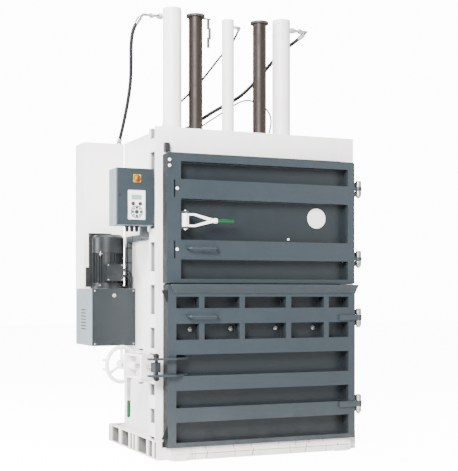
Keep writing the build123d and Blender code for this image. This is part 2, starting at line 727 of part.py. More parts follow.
# Keypad panel with the holes of its keys and a shallow display window
keypad_face = cab_face - keypad_t
with BuildPart() as keypad_panel:
    block(keypad_x - keypad_w / 2, keypad_x + keypad_w / 2, keypad_face, cab_face, keypad_z0, keypad_z1)
    fillet(keypad_panel.edges().filter_by(Axis.Y), 5)
    block(keypad_x - 34, keypad_x + 34, keypad_face, keypad_face + 1, 1628, 1660, Mode.SUBTRACT)
    for side in (-1, 1):
        bar((keypad_x + side * key_dx, keypad_face - 1, key_z), (0, 1, 0), key_r + run_gap, keypad_t + 2,
            Mode.SUBTRACT)
    bar((keypad_x, keypad_face - 1, pad_z), (0, 1, 0), pad_r + run_gap, keypad_t + 2, Mode.SUBTRACT)
save(keypad_panel, "keypad_panel")

# Keys of the keypad: two round ones, a ring for the four directions and its centre
key_front = keypad_face - key_proud
key_len = key_proud + keypad_t - key_travel - 0.2
with BuildPart() as left_key:
    bar((keypad_x - key_dx, key_front, key_z), (0, 1, 0), key_r, key_len)
    fillet(left_key.edges().group_by(Axis.Y)[0], 1)
save(left_key, "left_key")

with BuildPart() as right_key:
    bar((keypad_x + key_dx, key_front, key_z), (0, 1, 0), key_r, key_len)
    fillet(right_key.edges().group_by(Axis.Y)[0], 1)
save(right_key, "right_key")

with BuildPart() as direction_key:
    bar((keypad_x, key_front, pad_z), (0, 1, 0), pad_r, key_len)
    fillet(direction_key.edges().group_by(Axis.Y)[0], 1)
    bar((keypad_x, key_front - 1, pad_z), (0, 1, 0), pad_hole, key_len + 2, Mode.SUBTRACT)
save(direction_key, "direction_key")

with BuildPart() as centre_key:
    bar((keypad_x, key_front, pad_z), (0, 1, 0), ok_r, key_len)
    fillet(centre_key.edges().group_by(Axis.Y)[0], 1)
save(centre_key, "centre_key")

# Main switch: its plate and its turning knob
with BuildPart() as switch_plate:
    block(switch_x - switch_half, switch_x + switch_half, cab_face - 5, cab_face, switch_z - switch_half,
          switch_z + switch_half)
    fillet(switch_plate.edges().filter_by(Axis.Y), 4)
save(switch_plate, "switch_plate")

with BuildPart() as switch_knob:
    bar((switch_x, cab_face - 5 - seat_gap - 10, switch_z), (0, 1, 0), 18, 10)
    block(switch_x - 6, switch_x + 6, cab_face - 5 - seat_gap - 24, cab_face - 5 - seat_gap - 8,
          switch_z - 17, switch_z + 17)
save(switch_knob, "switch_knob")

# Power pack housing, open at the front
with BuildPart() as power_housing:
    block(pack_x0, pack_x1, pack_y0, pack_y1, pack_z0, pack_z1)
    block(pack_x0 + pack_sheet, pack_x1 - pack_sheet, pack_y0, pack_y1 - pack_sheet,
          pack_z0 + pack_sheet, pack_z1 - pack_sheet, Mode.SUBTRACT)
save(power_housing, "power_housing")

# Power pack door with the hole of its lock
pack_face = pack_y0 - seat_gap - pack_door_t
lock_hole_z = 1032.0
with BuildPart() as power_door:
    block(pack_x0 + 1, pack_x1 - 2, pack_face, pack_y0 - seat_gap, pack_z0 + 1, pack_z1 - 1)
    block(pack_x0 + 4, pack_x1 - 5, pack_face + sheet_t, pack_y0, pack_z0 + 4, pack_z1 - 4, Mode.SUBTRACT)
    bar((motor_x, pack_face - 1, lock_hole_z), (0, 1, 0), 6 + run_gap, 10, Mode.SUBTRACT)
save(power_door, "power_door")

# Quarter-turn lock of the power pack door
with BuildPart() as power_lock:
    bar((motor_x, pack_face - seat_gap - 6, lock_hole_z), (0, 1, 0), 13, 6)
    bar((motor_x, pack_face - seat_gap - 1, lock_hole_z), (0, 1, 0), 6, 18)
    block(motor_x - 2, motor_x + 2, pack_face - seat_gap - 7, pack_face - seat_gap - 5.5, lock_hole_z - 9,
          lock_hole_z + 9,
          Mode.SUBTRACT)
save(power_lock, "power_lock")

# Oil tank inside the housing
tank_gap = 12.0
tank_top = pack_z1 - 150
with BuildPart() as oil_tank:
    block(pack_x0 + tank_gap, pack_x1 - tank_gap, pack_y0 + tank_gap, pack_y1 - tank_gap,
          pack_z0 + pack_sheet, tank_top)
    fillet(oil_tank.edges().filter_by(Axis.Z), 20)
save(oil_tank, "oil_tank")

# Pump between the tank and the motor
with BuildPart() as oil_pump:
    bar((motor_x, motor_y, tank_top), (0, 0, 1), 58, pack_z1 - pack_sheet - tank_top)
save(oil_pump, "oil_pump")

# Tall cover behind the motor
with BuildPart() as power_cover:
    block(cover_x0, pack_x1, cover_y0, cover_y1, pack_z1, cover_top)
    block(cover_x0 + pack_sheet, pack_x1 - pack_sheet, cover_y0 + pack_sheet, cover_y1 - pack_sheet,
          pack_z1 - 1, cover_top - pack_sheet, Mode.SUBTRACT)
    block(cover_x0 + 34, pack_x1 - 90, cover_y0 - 1, cover_y0 + pack_sheet + 1, pack_z1 + 70, cowl_top + 20,
          Mode.SUBTRACT)
    block(cover_x0 + 12, pack_x1 - 12, cover_y0 - 1, cover_y0 + pack_sheet + 1, pack_z1 + 12, motor_low + 134,
          Mode.SUBTRACT)
    bar((-642, 470, cover_top - 10), (0, 0, 1), main_hose_d / 2 + 4, 20, Mode.SUBTRACT)
save(power_cover, "power_cover")

# Motor: mounting flange, finned body and end shields
with BuildPart() as motor_body:
    bar((motor_x, motor_y, pack_z1), (0, 0, 1), motor_r + 16, motor_low - pack_z1)
    bar((motor_x, motor_y, motor_low), (0, 0, 1), motor_r - 9, motor_high - motor_low)
    bar((motor_x, motor_y, motor_low), (0, 0, 1), motor_r, 22)
    bar((motor_x, motor_y, motor_high - 22), (0, 0, 1), motor_r, 22)
    with Locations((motor_x, motor_y, (motor_low + motor_high) / 2)):
        with PolarLocations(motor_r - 8, fin_count):
            Box(16, 4, motor_high - motor_low)
    bar((motor_x, motor_y, motor_high - 60), (0, 0, 1), shaft_r + run_gap, 61, Mode.SUBTRACT)
save(motor_body, "motor_body")

# Motor fan and shaft
with BuildPart() as motor_fan:
    bar((motor_x, motor_y, motor_high - 59), (0, 0, 1), shaft_r, 119)
    bar((motor_x, motor_y, motor_high + 20), (0, 0, 1), 30, 40)
    with Locations((motor_x, motor_y, motor_high + 40)):
        with PolarLocations(56, 8):
            Box(60, 4, 34)
save(motor_fan, "motor_fan")

# Fan cowl with a slotted top
with BuildPart() as fan_cowl:
    bar((motor_x, motor_y, motor_high), (0, 0, 1), motor_r, cowl_top - motor_high)
    chamfer(fan_cowl.edges().group_by(Axis.Z)[-1], 18)
    bar((motor_x, motor_y, motor_high - 1), (0, 0, 1), motor_r - 2.5, cowl_top - motor_high - 20,
        Mode.SUBTRACT)
    bar((motor_x, motor_y, motor_high + 60), (0, 0, 1), motor_r - 20, cowl_top - motor_high - 62.5,
        Mode.SUBTRACT)
    with Locations((motor_x, motor_y, cowl_top)):
        with PolarLocations(52, 12):
            Box(52, 8, 20, mode=Mode.SUBTRACT)
save(fan_cowl, "fan_cowl")

# Terminal box on the front of the motor
term_x0 = motor_x - 61.0
term_x1 = motor_x + 54.0
term_y0 = 130.0
term_z0 = 1130.0
term_z1 = 1248.0
with BuildPart() as terminal_box:
    block(term_x0, term_x1, term_y0, motor_y - motor_r + 30, term_z0, term_z1)
    fillet(terminal_box.edges().filter_by(Axis.Y), 8)
    bar((motor_x, motor_y, term_z0 - 1), (0, 0, 1), motor_r + 0.5, term_z1 - term_z0 + 2, Mode.SUBTRACT)
save(terminal_box, "terminal_box")

# Cable glands of the motor and of the control cabinet
gland_len = 26.0
motor_gland_y = 190.0
motor_gland_zs = [1165.0, 1205.0]
cab_gland_xs = [keypad_x + 32.0, keypad_x, keypad_x - 32.0]
cab_gland_y = -400.0
with BuildPart() as cable_glands:
    for gland_z in motor_gland_zs:
        bar((term_x1, motor_gland_y, gland_z), (1, 0, 0), 11, gland_len)
    for gland_x in cab_gland_xs:
        bar((gland_x, cab_gland_y, cab_z0), (0, 0, -1), 11, gland_len)
save(cable_glands, "cable_glands")

# Cable duct along the side wall, up to the control cabinet
duct_w = 45.0
duct_h = 40.0
duct_t = 30.0
duct_y = 285.0
duct_z = 1440.0
duct_far = cab_x1 - 49.0
duct_end_y = post_back + 2
with BuildPart() as cable_duct:
    block(-wall_out - duct_t, -wall_out, duct_y - duct_w, duct_y, pack_z1 + 1, duct_z)
    block(-wall_out - duct_t, -wall_out, duct_end_y, duct_y, duct_z - duct_h, duct_z)
    block(duct_far, -wall_out, duct_end_y, duct_end_y + duct_w, duct_z - duct_h, duct_z)
    block(duct_far, duct_far + duct_h, duct_end_y, duct_end_y + duct_w, duct_z, cab_z0)
save(cable_duct, "cable_duct")

# Hose manifold on the deck
mani_x0 = -440.0
mani_x1 = -340.0
mani_y0 = 180.0
mani_y1 = 280.0
mani_top = 2211.0
with BuildPart() as hose_manifold:
    block(mani_x0, mani_x1, mani_y0, mani_y1, deck_top, mani_top)
    chamfer(hose_manifold.edges(), 3)
save(hose_manifold, "hose_manifold")

# Routes of the hoses, from fitting to fitting
left_route = [(-652, 10, 2886), (-682, 30, 2836), (-684, 72, 2740), (-664, 132, 2635), (-640, 210, 2520),
              (-632, 300, 2385), (-634, 390, 2250), (-642, 470, 2128)]
centre_route = [(90, 18, 2899), (97, 60, 2880), (84, 94, 2835), (48, 112, 2780), (-10, 122, 2715),
                (-75, 127, 2630),
                (-140, 135, 2545), (-215, 150, 2460), (-285, 172, 2390), (-345, 198, 2335), (-382, 220, 2285),
                (-390, 228, 2236)]
right_route = [(-305, 200, 2180), (-235, 190, 2200), (-150, 165, 2262), (-50, 148, 2332), (60, 136, 2393),
               (160, 130, 2456), (252, 128, 2545), (350, 122, 2658), (430, 116, 2752), (505, 88, 2826),
               (550, 46, 2862), (580, 14, 2893)]
thin_route = [(-305, 232, 2120), (-240, 214, 2142), (-150, 172, 2212), (-40, 142, 2290), (50, 124, 2350),
              (118, 114, 2396),
              (180, 112, 2424), (240, 109, 2421), (298, 104, 2402), (345, 100, 2370), (374, 100, 2328),
              (382, 100, 2283), (375, 100, 2236), (363, 100, 2188), (357, 100, 2140), (356, 100, 2094)]
upper_cable = [(-693.5, 190, 1205), (-665, 190, 1205), (-644, 191, 1183), (-638, 193, 1146),
               (-639, 195, 1112), (-641, 198, 1080)]
lower_cable = [(-693.5, 190, 1165), (-677, 190, 1165), (-664, 191, 1150), (-661, 193, 1127),
               (-662, 195, 1103), (-663, 198, 1080)]


def hose_path(name, points):
    """A route of straight runs and tangent arcs, each arc as large as its two runs allow."""
    spots = [Vector(*point) for point in points]
    runs = [after - before for before, after in zip(spots, spots[1:])]
    radii = []
    for first, second in zip(runs, runs[1:]):
        turn = radians(first.get_angle(second))
        radii.append(0.45 * min(first.length, second.length) / tan(turn / 2))
    print(name, "radii", [round(radius) for radius in radii])
    return FilletPolyline(*points, radius=radii)


def hose_tube(path, diameter):
    """A plain tube along a finished path."""
    with BuildSketch(Plane(origin=path @ 0, z_dir=path % 0)) as section:
        Circle(diameter / 2)
    sweep(section.sketch, path=path)


with BuildPart() as left_hose:
    with BuildLine() as left_path:
        hose_path("left_hose", left_route)
    hose_tube(left_path.line, main_hose_d)
save(left_hose, "left_hose")

with BuildPart() as centre_hose:
    with BuildLine() as centre_path:
        hose_path("centre_hose", centre_route)
    hose_tube(centre_path.line, centre_hose_d)
save(centre_hose, "centre_hose")

with BuildPart() as right_hose:
    with BuildLine() as right_path:
        hose_path("right_hose", right_route)
    hose_tube(right_path.line, main_hose_d)
save(right_hose, "right_hose")

with BuildPart() as thin_hose:
    with BuildLine() as thin_path:
        hose_path("thin_hose", thin_route)
    hose_tube(thin_path.line, thin_hose_d)
save(thin_hose, "thin_hose")

with BuildPart() as motor_cables:
    for cable_name, cable_route in (("upper_cable", upper_cable), ("lower_cable", lower_cable)):
        with BuildLine() as cable_path:
            hose_path(cable_name, cable_route)
        hose_tube(cable_path.line, motor_cable_d - 2)
save(motor_cables, "motor_cables")

for tube, path, diameter in ((left_hose, left_path, main_hose_d), (centre_hose, centre_path, centre_hose_d),
                             (right_hose, right_path, main_hose_d), (thin_hose, thin_path, thin_hose_d)):
    length = sum(edge.length for edge in path.line.edges())
    print("length", round(length), "tube share", round(tube.part.volume / (length * pi * diameter**2 / 4), 4))


def ferrule(hose_end, hose_next, radius, reach):
    """A ferrule that meets a hose square at its end; it returns the ferrule's far end."""
    back = (Vector(*hose_end) - Vector(*hose_next)).normalized()
    bar(hose_end, back, radius, reach)
    return Vector(*hose_end) + back * (reach - 2)


def elbow(port, corner, hose_end, hose_next, tube_r, ferrule_r):
    """A pipe from a port round a corner to the ferrule of a hose."""
    way = (Vector(*corner) - Vector(*port)).normalized()
    far_end = ferrule(hose_end, hose_next, ferrule_r, ferrule_r * 1.5)
    pipe(port, corner, tube_r)
    bar(port, way, tube_r * 1.7, 18)
    bar(Vector(*port) + way * 24, way, tube_r * 1.5, 14)
    with Locations(corner):
        Sphere(tube_r * 1.15)
    pipe(corner, far_end, tube_r)


# Hose fittings: the elbows at the ports and the sockets at the far ends
main_ferrule = main_hose_d / 2 + ferrule_wall
port_x = cyl_x + cyl_r + 12
with BuildPart() as hose_fittings:
    elbow((-port_x, 0, port_z), (-620, 0, port_z), left_route[0], left_route[1], 9, main_ferrule)
    elbow((port_x, 0, port_z), (612, 0, port_z), right_route[-1], right_route[-2], 9, main_ferrule)
    elbow((mid_r + 12, 0, mid_port_z), (86, 0, mid_port_z), centre_route[0], centre_route[1], 6,
          centre_hose_d / 2 + ferrule_wall)
    for socket, way, hose_end, hose_next, hose_d in (
            ((mani_x1, 200, 2180), (1, 0, 0), right_route[0], right_route[1], main_hose_d),
            ((mani_x1, 232, 2120), (1, 0, 0), thin_route[0], thin_route[1], thin_hose_d),
            ((-390, 228, mani_top), (0, 0, 1), centre_route[-1], centre_route[-2], centre_hose_d),
            ((356, 100, deck_top), (0, 0, 1), thin_route[-1], thin_route[-2], thin_hose_d)):
        far_end = ferrule(hose_end, hose_next, hose_d / 2 + ferrule_wall, 14)
        bar(socket, way, hose_d / 2 + ferrule_wall + 2, 9)
        pipe(Vector(*socket) + Vector(*way) * 6, far_end, hose_d / 2)
    ferrule(left_route[-1], left_route[-2], main_hose_d / 2 + ferrule_wall, 14)
    bar((left_route[-1][0], left_route[-1][1], cover_top), (0, 0, 1), main_hose_d / 2 + 9, 6)
    bar((left_route[-1][0], left_route[-1][1], cover_top - 14), (0, 0, 1), main_hose_d / 2 + 3.5, 15)
save(hose_fittings, "hose_fittings")
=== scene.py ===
import json
import math
import random

import bmesh
import bpy
from mathutils import Matrix, Vector


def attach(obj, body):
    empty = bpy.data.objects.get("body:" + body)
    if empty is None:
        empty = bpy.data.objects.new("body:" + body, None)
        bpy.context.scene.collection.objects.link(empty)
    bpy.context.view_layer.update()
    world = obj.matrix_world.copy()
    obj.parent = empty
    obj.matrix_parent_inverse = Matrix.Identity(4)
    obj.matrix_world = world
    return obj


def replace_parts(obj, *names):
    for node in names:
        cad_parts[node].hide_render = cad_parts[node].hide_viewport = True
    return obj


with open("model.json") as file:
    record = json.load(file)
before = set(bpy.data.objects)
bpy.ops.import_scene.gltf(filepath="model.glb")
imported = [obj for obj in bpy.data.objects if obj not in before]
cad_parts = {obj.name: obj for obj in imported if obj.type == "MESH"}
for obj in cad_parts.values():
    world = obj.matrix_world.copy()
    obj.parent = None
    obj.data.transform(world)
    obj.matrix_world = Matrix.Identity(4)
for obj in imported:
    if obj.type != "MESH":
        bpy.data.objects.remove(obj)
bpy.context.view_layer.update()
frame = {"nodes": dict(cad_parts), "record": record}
nodes = frame["nodes"]

# Places shared with the CAD, in metres
DOOR_Y = -0.595
DOOR_EDGE = -0.660
LOWER_SKIN_Y = -0.511
UPPER_SKIN_Y = -0.526
CAB_FACE = -0.4945
FILM_FACE = CAB_FACE - 0.0040
KEYPAD_X = -0.832
PAD_Z = 1.553
SWITCH_X = -0.829
SWITCH_Z = 1.762
CYL_X = 0.413
CYL_TOP = 2.985
CENTRE_TOP = 2.948
DECK_TOP = 2.081
GUIDE_X = 0.242
POST_SIDE = -0.711
POST_FRONT_Y = -0.501
BATTEN_ZS = (0.184, 0.360, 0.588, 0.871, 1.141, 1.411, 1.980)
CABLE_Y = 0.190
DUCT_X = -0.6345
HINGE_X = 0.700
MOTOR = Vector((-0.774, 0.305, 0))
LOCK = Vector((-0.736, -0.595, 0.587))

# Directions: the lock's axis away from the door, and the axes of a bar that leans by 15 degrees
LOCK_DIR = Vector((-0.2824, 0.9593, 0)).normalized()
LOCK_SIDE = Vector((0.9593, 0.2824, 0)).normalized()
UP = Vector((0, 0, 1))
FRONT = Vector((0, -1, 0))
LEANING = [(0.966, 0, -0.259), (0, 1, 0), (0.259, 0, 0.966)]

# Brightness of the world as a lamp and as the backdrop, and of the floor towards the camera
WORLD_LIGHT = 0.20
WORLD_SEEN = 14.0
FLOOR_SEEN = 12.0


# Camera and stage
def camera():
    data = bpy.data.cameras.new("camera")
    data.lens = 81.32
    data.sensor_width = 36
    data.shift_y = 0.1263
    data.clip_end = 60
    obj = bpy.data.objects.new("camera", data)
    obj.location = (-2.925, -6.811, 1.035)
    obj.rotation_euler = (math.radians(90), 0, math.radians(-23.3))
    bpy.context.collection.objects.link(obj)
    bpy.context.scene.camera = obj


def area_light(name, place, target, size, power, colour=(1, 1, 1)):
    data = bpy.data.lights.new(name, "AREA")
    data.shape = "RECTANGLE"
    data.size = size[0]
    data.size_y = size[1]
    data.energy = power
    data.color = colour
    obj = bpy.data.objects.new(name, data)
    obj.location = place
    obj.rotation_euler = (Vector(target) - Vector(place)).to_track_quat("-Z", "Y").to_euler()
    bpy.context.collection.objects.link(obj)


camera()
area_light("key", (-4.4, -5.6, 4.4), (0, -0.3, 1.2), (2.6, 2.6), 2150, (1, 0.985, 0.965))
area_light("fill", (4.6, -5.0, 2.6), (0, 0, 1.2), (4.0, 4.0), 150, (0.96, 0.98, 1))
area_light("top", (0, 0.6, 6.0), (0, 0, 1), (4.0, 4.0), 600)
area_light("rim", (-5.6, 1.5, 2.6), (-0.4, 0, 1.2), (2.5, 3.5), 620)


# Shader values that take arithmetic
def feed(tree, socket, value):
    """A link from another value, or a plain number, place or colour."""
    if isinstance(value, Val):
        tree.links.new(value.socket, socket)
    else:
        socket.default_value = (*value, 1) if socket.type == "RGBA" else value


def add_node(tree, kind, settings, sockets):
    """One node: its settings are set first, then the values or links of its sockets."""
    node = tree.nodes.new(kind)
    for name, value in settings.items():
        setattr(node, name, value)
    for name, value in sockets.items():
        feed(tree, node.inputs[name], value)
    return node


class Val:
    """A socket's value, which adds its own Math nodes."""

    def __init__(self, tree, socket):
        self.tree = tree
        self.socket = socket

    def math(self, operation, *others):
        sockets = dict(enumerate((self, *others)))
        return Val(self.tree, add_node(self.tree, "ShaderNodeMath", {"operation": operation}, sockets).outputs[0])

    def __add__(self, other):
        return self.math("ADD", other)

    def __mul__(self, other):
        return self.math("MULTIPLY", other)

    __radd__ = __add__
    __rmul__ = __mul__

    def fit(self, low, high, to_low=0.0, to_high=1.0):
        """The value from low to high, spread from to_low to to_high and held at the ends."""
        sockets = {"Value": self, "From Min": low, "From Max": high, "To Min": to_low, "To Max": to_high}
        return Val(self.tree, add_node(self.tree, "ShaderNodeMapRange", {}, sockets).outputs["Result"])


def camera_ray(tree):
    """One towards the camera and zero for light, so that the backdrop stays white and casts little."""
    return Val(tree, add_node(tree, "ShaderNodeLightPath", {}, {}).outputs["Is Camera Ray"])


class Shader:
    """A material under construction, with the few nodes that the looks below share."""

    def __init__(self, name):
        self.material = bpy.data.materials.new(name)
        self.material.use_nodes = True
        self.tree = self.material.node_tree
        self.bsdf = self.tree.nodes["Principled BSDF"]
        self.place = self.node("ShaderNodeTexCoord", "Object")
        self.normal = None

    def node(self, kind, output, settings=None, **sockets):
        names = {name.replace("_", " "): value for name, value in sockets.items()}
        return Val(self.tree, add_node(self.tree, kind, settings or {}, names).outputs[output])

    def coords(self, scale=(1, 1, 1)):
        return self.node("ShaderNodeMapping", "Vector", Scale=scale, Vector=self.place)

    def axis(self, name):
        return self.node("ShaderNodeSeparateXYZ", name, Vector=self.place)

    def noise(self, scale, detail=3.0, rough=0.5, stretch=(1, 1, 1)):
        return self.node("ShaderNodeTexNoise", "Fac", Scale=scale, Detail=detail, Roughness=rough,
                         Vector=self.coords(stretch))

    def cells(self, scale):
        return self.node("ShaderNodeTexVoronoi", "Distance", Scale=scale, Vector=self.coords())

    def mix(self, fac, a, b):
        """Two colours mixed; the Mix node's colour sockets are its seventh and eighth."""
        mixed = add_node(self.tree, "ShaderNodeMix", {"data_type": "RGBA"}, {"Factor": fac, 6: a, 7: b})
        return Val(self.tree, mixed.outputs[2])

    def bump(self, height, strength, distance):
        sockets = {"Strength": strength, "Distance": distance, "Height": height}
        if self.normal is not None:
            sockets["Normal"] = self.normal
        self.normal = self.node("ShaderNodeBump", "Normal", **sockets)
        self.set(Normal=self.normal)

    def set(self, **values):
        for name, value in values.items():
            feed(self.tree, self.bsdf.inputs[name.replace("_", " ")], value)


# World: a white backdrop and a little light from all round
world = bpy.data.worlds.new("world")
world.use_nodes = True
sky = world.node_tree.nodes["Background"]
sky.inputs["Color"].default_value = (0.96, 0.975, 1.0, 1)
feed(world.node_tree, sky.inputs["Strength"], camera_ray(world.node_tree).fit(0, 1, WORLD_LIGHT, WORLD_SEEN))
bpy.context.scene.world = world


def shade(colour, factor):
    return tuple(channel * factor for channel in colour)


def paint(name, colour, rough, peel=0.10, grime=0.35, wear=(0.30, 0.30, 0.30), recess_shade=0.0, hollow_shade=None):
    """Sprayed or powder coated sheet: orange peel, faint clouds, rubbed specks and floor dust.

    recess_shade sets a painted shade on the sheet behind a door's ribs; a door's left edge gets a painted shade and
    a duller, rougher film.
    hollow_shade is the mouth in X, the depth of the change, the limits in Y and Z and the inner colour of a section
    whose inside gets a painted shade."""
    s = Shader(name)
    clouds = s.noise(2.6, 4.0).fit(0.35, 0.68)
    streaks = s.noise(1.0, 4.0, 0.6, (38, 38, 2.2)).fit(0.50, 0.75)
    base = s.mix(clouds, shade(colour, 0.955), shade(colour, 1.03))
    base = s.mix(streaks * 0.22, base, shade(colour, 0.86))
    specks = s.noise(95, 5.0, 0.7).fit(0.70, 0.76) * s.noise(5.0, 3.0).fit(0.50, 0.66)
    base = s.mix(specks * 0.45, base, wear)
    dust = s.axis("Z").fit(0.34, 0.0) * s.noise(9, 5.0, 0.65).fit(0.30, 0.72)
    base = s.mix(dust * grime, base, (0.33, 0.30, 0.26))
    dull = None
    # Painted shade: the sheet behind a door's ribs and the door's left edge face are darkened; the edge is also
    # made rougher.
    if recess_shade:
        base = s.mix(s.axis("Y").fit(DOOR_Y + 0.004, DOOR_Y + 0.045) * recess_shade, base, shade(colour, 0.10))
        edge = s.axis("X").fit(DOOR_EDGE + 0.0015, DOOR_EDGE + 0.0007)
        dull = edge * s.axis("Y").fit(DOOR_Y + 0.0006, DOOR_Y + 0.0012)
        base = s.mix(dull * 0.85, base, shade(colour, 0.06))
    # Painted shade: the inside of an open section turns to the inner colour past its mouth.
    if hollow_shade:
        mouth, depth, y_limits, z_limits, inner = hollow_shade
        inside = s.axis("X").math("ABSOLUTE").fit(mouth, mouth - depth)
        for axis, (low, high) in (("Y", y_limits), ("Z", z_limits)):
            inside = inside * s.axis(axis).fit(low, low + 0.0003)
            inside = inside * s.axis(axis).fit(high, high - 0.0003)
        base = s.mix(inside, base, inner)
    patches = s.noise(14, 4.0, 0.6)
    gloss = patches.fit(0.3, 0.7, rough - 0.05, rough + 0.08)
    s.set(Base_Color=base, Roughness=gloss + dull * 0.4 if dull else gloss, Specular_IOR_Level=0.32)
    s.bump(s.noise(420, 2.0), peel, 0.0006)
    s.bump(s.noise(6.0, 2.0), 0.06, 0.006)
    return s.material


def metal(name, colour, rough, brush=(1, 1, 1), grain=0.12, metallic=1.0):
    """Worked metal: grain along one way, dull patches and small pits."""
    s = Shader(name)
    lines = s.noise(1.0, 3.0, 0.6, brush) if brush != (1, 1, 1) else s.noise(60, 4.0, 0.6)
    patches = s.noise(16, 4.0, 0.6).fit(0.3, 0.7)
    base = s.mix(patches, shade(colour, 0.82), shade(colour, 1.08))
    base = s.mix(s.noise(70, 5.0, 0.7).fit(0.66, 0.74) * 0.4, base, shade(colour, 0.55))
    s.set(Base_Color=base, Metallic=metallic, Roughness=lines.fit(0.3, 0.7, rough - 0.08, rough + 0.12))
    s.bump(lines, grain, 0.0004)
    return s.material


def plastic(name, colour, rough, grain=0.08, coat=0.0, scale=700):
    """Moulded plastic or film: cloudy tone, fine pale scuffs and a moulded grain."""
    s = Shader(name)
    tone = s.noise(12, 4.0).fit(0.3, 0.7)
    base = s.mix(tone, shade(colour, 0.90), shade(colour, 1.07))
    base = s.mix(s.noise(160, 4.0, 0.7).fit(0.68, 0.76) * 0.25, base, shade(colour, 1.5))
    s.set(Base_Color=base, Roughness=s.noise(30, 4.0).fit(0.3, 0.7, rough - 0.05, rough + 0.09),
          Coat_Weight=coat, Specular_IOR_Level=0.35)
    s.bump(s.noise(scale, 2.0), grain, 0.0004)
    return s.material


def rubber(name, colour):
    """Hose cover: cloth-wrapped rubber with a fine cross pattern and dust."""
    s = Shader(name)
    wrap = s.cells(620)
    dust = s.noise(24, 5.0, 0.65).fit(0.52, 0.74)
    s.set(Base_Color=s.mix(dust * 0.35, colour, (0.03, 0.03, 0.032)), Roughness=dust.fit(0, 1, 0.50, 0.66),
          Specular_IOR_Level=0.3)
    s.bump(wrap, 0.22, 0.0006)
    return s.material


SLATE = (0.0225, 0.0305, 0.0365)
OFF_WHITE = (0.86, 0.845, 0.83)
mats = {
    "white_paint": paint("white_paint", OFF_WHITE, 0.38),
    # The insides of the post channels get a painted shade.
    "post_paint": paint("post_paint", OFF_WHITE, 0.38,
                        hollow_shade=(0.702, 0.004, (-0.4915, -0.3915), (0.1, 2.2), (0.20, 0.212, 0.218))),
    # The insides of the base cells get a painted shade.
    "base_paint": paint("base_paint", OFF_WHITE, 0.38,
                        hollow_shade=(0.7105, 0.016, (-0.5347, 0.4997), (0.0087, 0.1113), (0.165, 0.165, 0.160))),
    # Painted shade: the power door gets the slate paint at about half its brightness.
    "shaded_pack_paint": paint("shaded_pack_paint", shade(SLATE, 0.52), 0.38, wear=(0.12, 0.135, 0.15)),
    "grey_paint": paint("grey_paint", SLATE, 0.36, wear=(0.30, 0.33, 0.36)),
    # door_paint carries a painted shade behind the ribs and on the left edge.
    "door_paint": paint("door_paint", SLATE, 0.34, 0.10, 0.10, (0.12, 0.135, 0.15), 0.52),
    "pale_grey_paint": paint("pale_grey_paint", (0.20, 0.235, 0.26), 0.40),
    "column_brown": paint("column_brown", (0.0155, 0.0092, 0.0063), 0.50, 0.05, 0.1, (0.05, 0.037, 0.029)),
    "dark_cap": paint("dark_cap", (0.038, 0.033, 0.030), 0.5, wear=(0.12, 0.11, 0.10)),
    "bright_steel": metal("bright_steel", (0.50, 0.49, 0.475), 0.27),
    "rod_chrome": metal("rod_chrome", (0.78, 0.78, 0.79), 0.12, (90, 90, 2), 0.04),
    "black_rubber": rubber("black_rubber", (0.0045, 0.0045, 0.0055)),
    "green_plastic": plastic("green_plastic", (0.0, 0.056, 0.013), 0.38),
    "motor_grey": paint("motor_grey", (0.0062, 0.0082, 0.0098), 0.38, 0.16, 0.2, (0.06, 0.07, 0.08)),
    "white_plastic": plastic("white_plastic", (0.80, 0.80, 0.79), 0.36),
    "key_grey": plastic("key_grey", (0.024, 0.030, 0.037), 0.45, 0.2),
    "yellow_plastic": plastic("yellow_plastic", (0.33, 0.235, 0.0), 0.55),
    "red_plastic": plastic("red_plastic", (0.20, 0.0, 0.0), 0.45),
    "black_plastic": plastic("black_plastic", (0.018, 0.018, 0.020), 0.42, 0.25, scale=420),
    "wheel_white": plastic("wheel_white", (0.90, 0.89, 0.87), 0.24, coat=0.4),
    "display": plastic("display", (0.20, 0.33, 0.27), 0.2, 0.0, coat=0.6),
    # dark_gap: dark joints, and painted shade in the vent slots and behind the cover's cut-out.
    "dark_gap": plastic("dark_gap", (0.012, 0.012, 0.013), 0.8),
    "film_grey": plastic("film_grey", (0.33, 0.36, 0.39), 0.34),
    "dark_film": plastic("dark_film", (0.040, 0.045, 0.052), 0.34),
    "plain_badge": paint("plain_badge", (0.70, 0.70, 0.69), 0.34, 0.05),
    "duct_grey": plastic("duct_grey", (0.045, 0.055, 0.062), 0.42, 0.2),
    "lever_grey": metal("lever_grey", (0.55, 0.55, 0.54), 0.42, (70, 70, 3), 0.1, 0.55),
    "dark_steel": metal("dark_steel", (0.16, 0.155, 0.15), 0.42),
    "blued_steel": metal("blued_steel", (0.020, 0.025, 0.030), 0.42, metallic=0.4),
}

# Finishes of the CAD's own pieces: by slot, then the few that differ from their slot
for item in frame["record"]["subparts"]:
    cad = nodes[item["node"]]
    cad.data.materials.clear()
    cad.data.materials.append(mats[item["material_slot"]])
for name, look in (("cable_duct", "duct_grey"), ("lock_lever", "lever_grey"), ("direction_key", "white_plastic"),
                   ("upper_door", "door_paint"), ("lower_door", "door_paint"), ("power_door", "shaded_pack_paint"),
                   ("front_posts", "post_paint"), ("base_frame", "base_paint"), ("lock_trunnion", "blued_steel"),
                   ("lock_pin", "blued_steel")):
    nodes[name].data.materials[0] = mats[look]

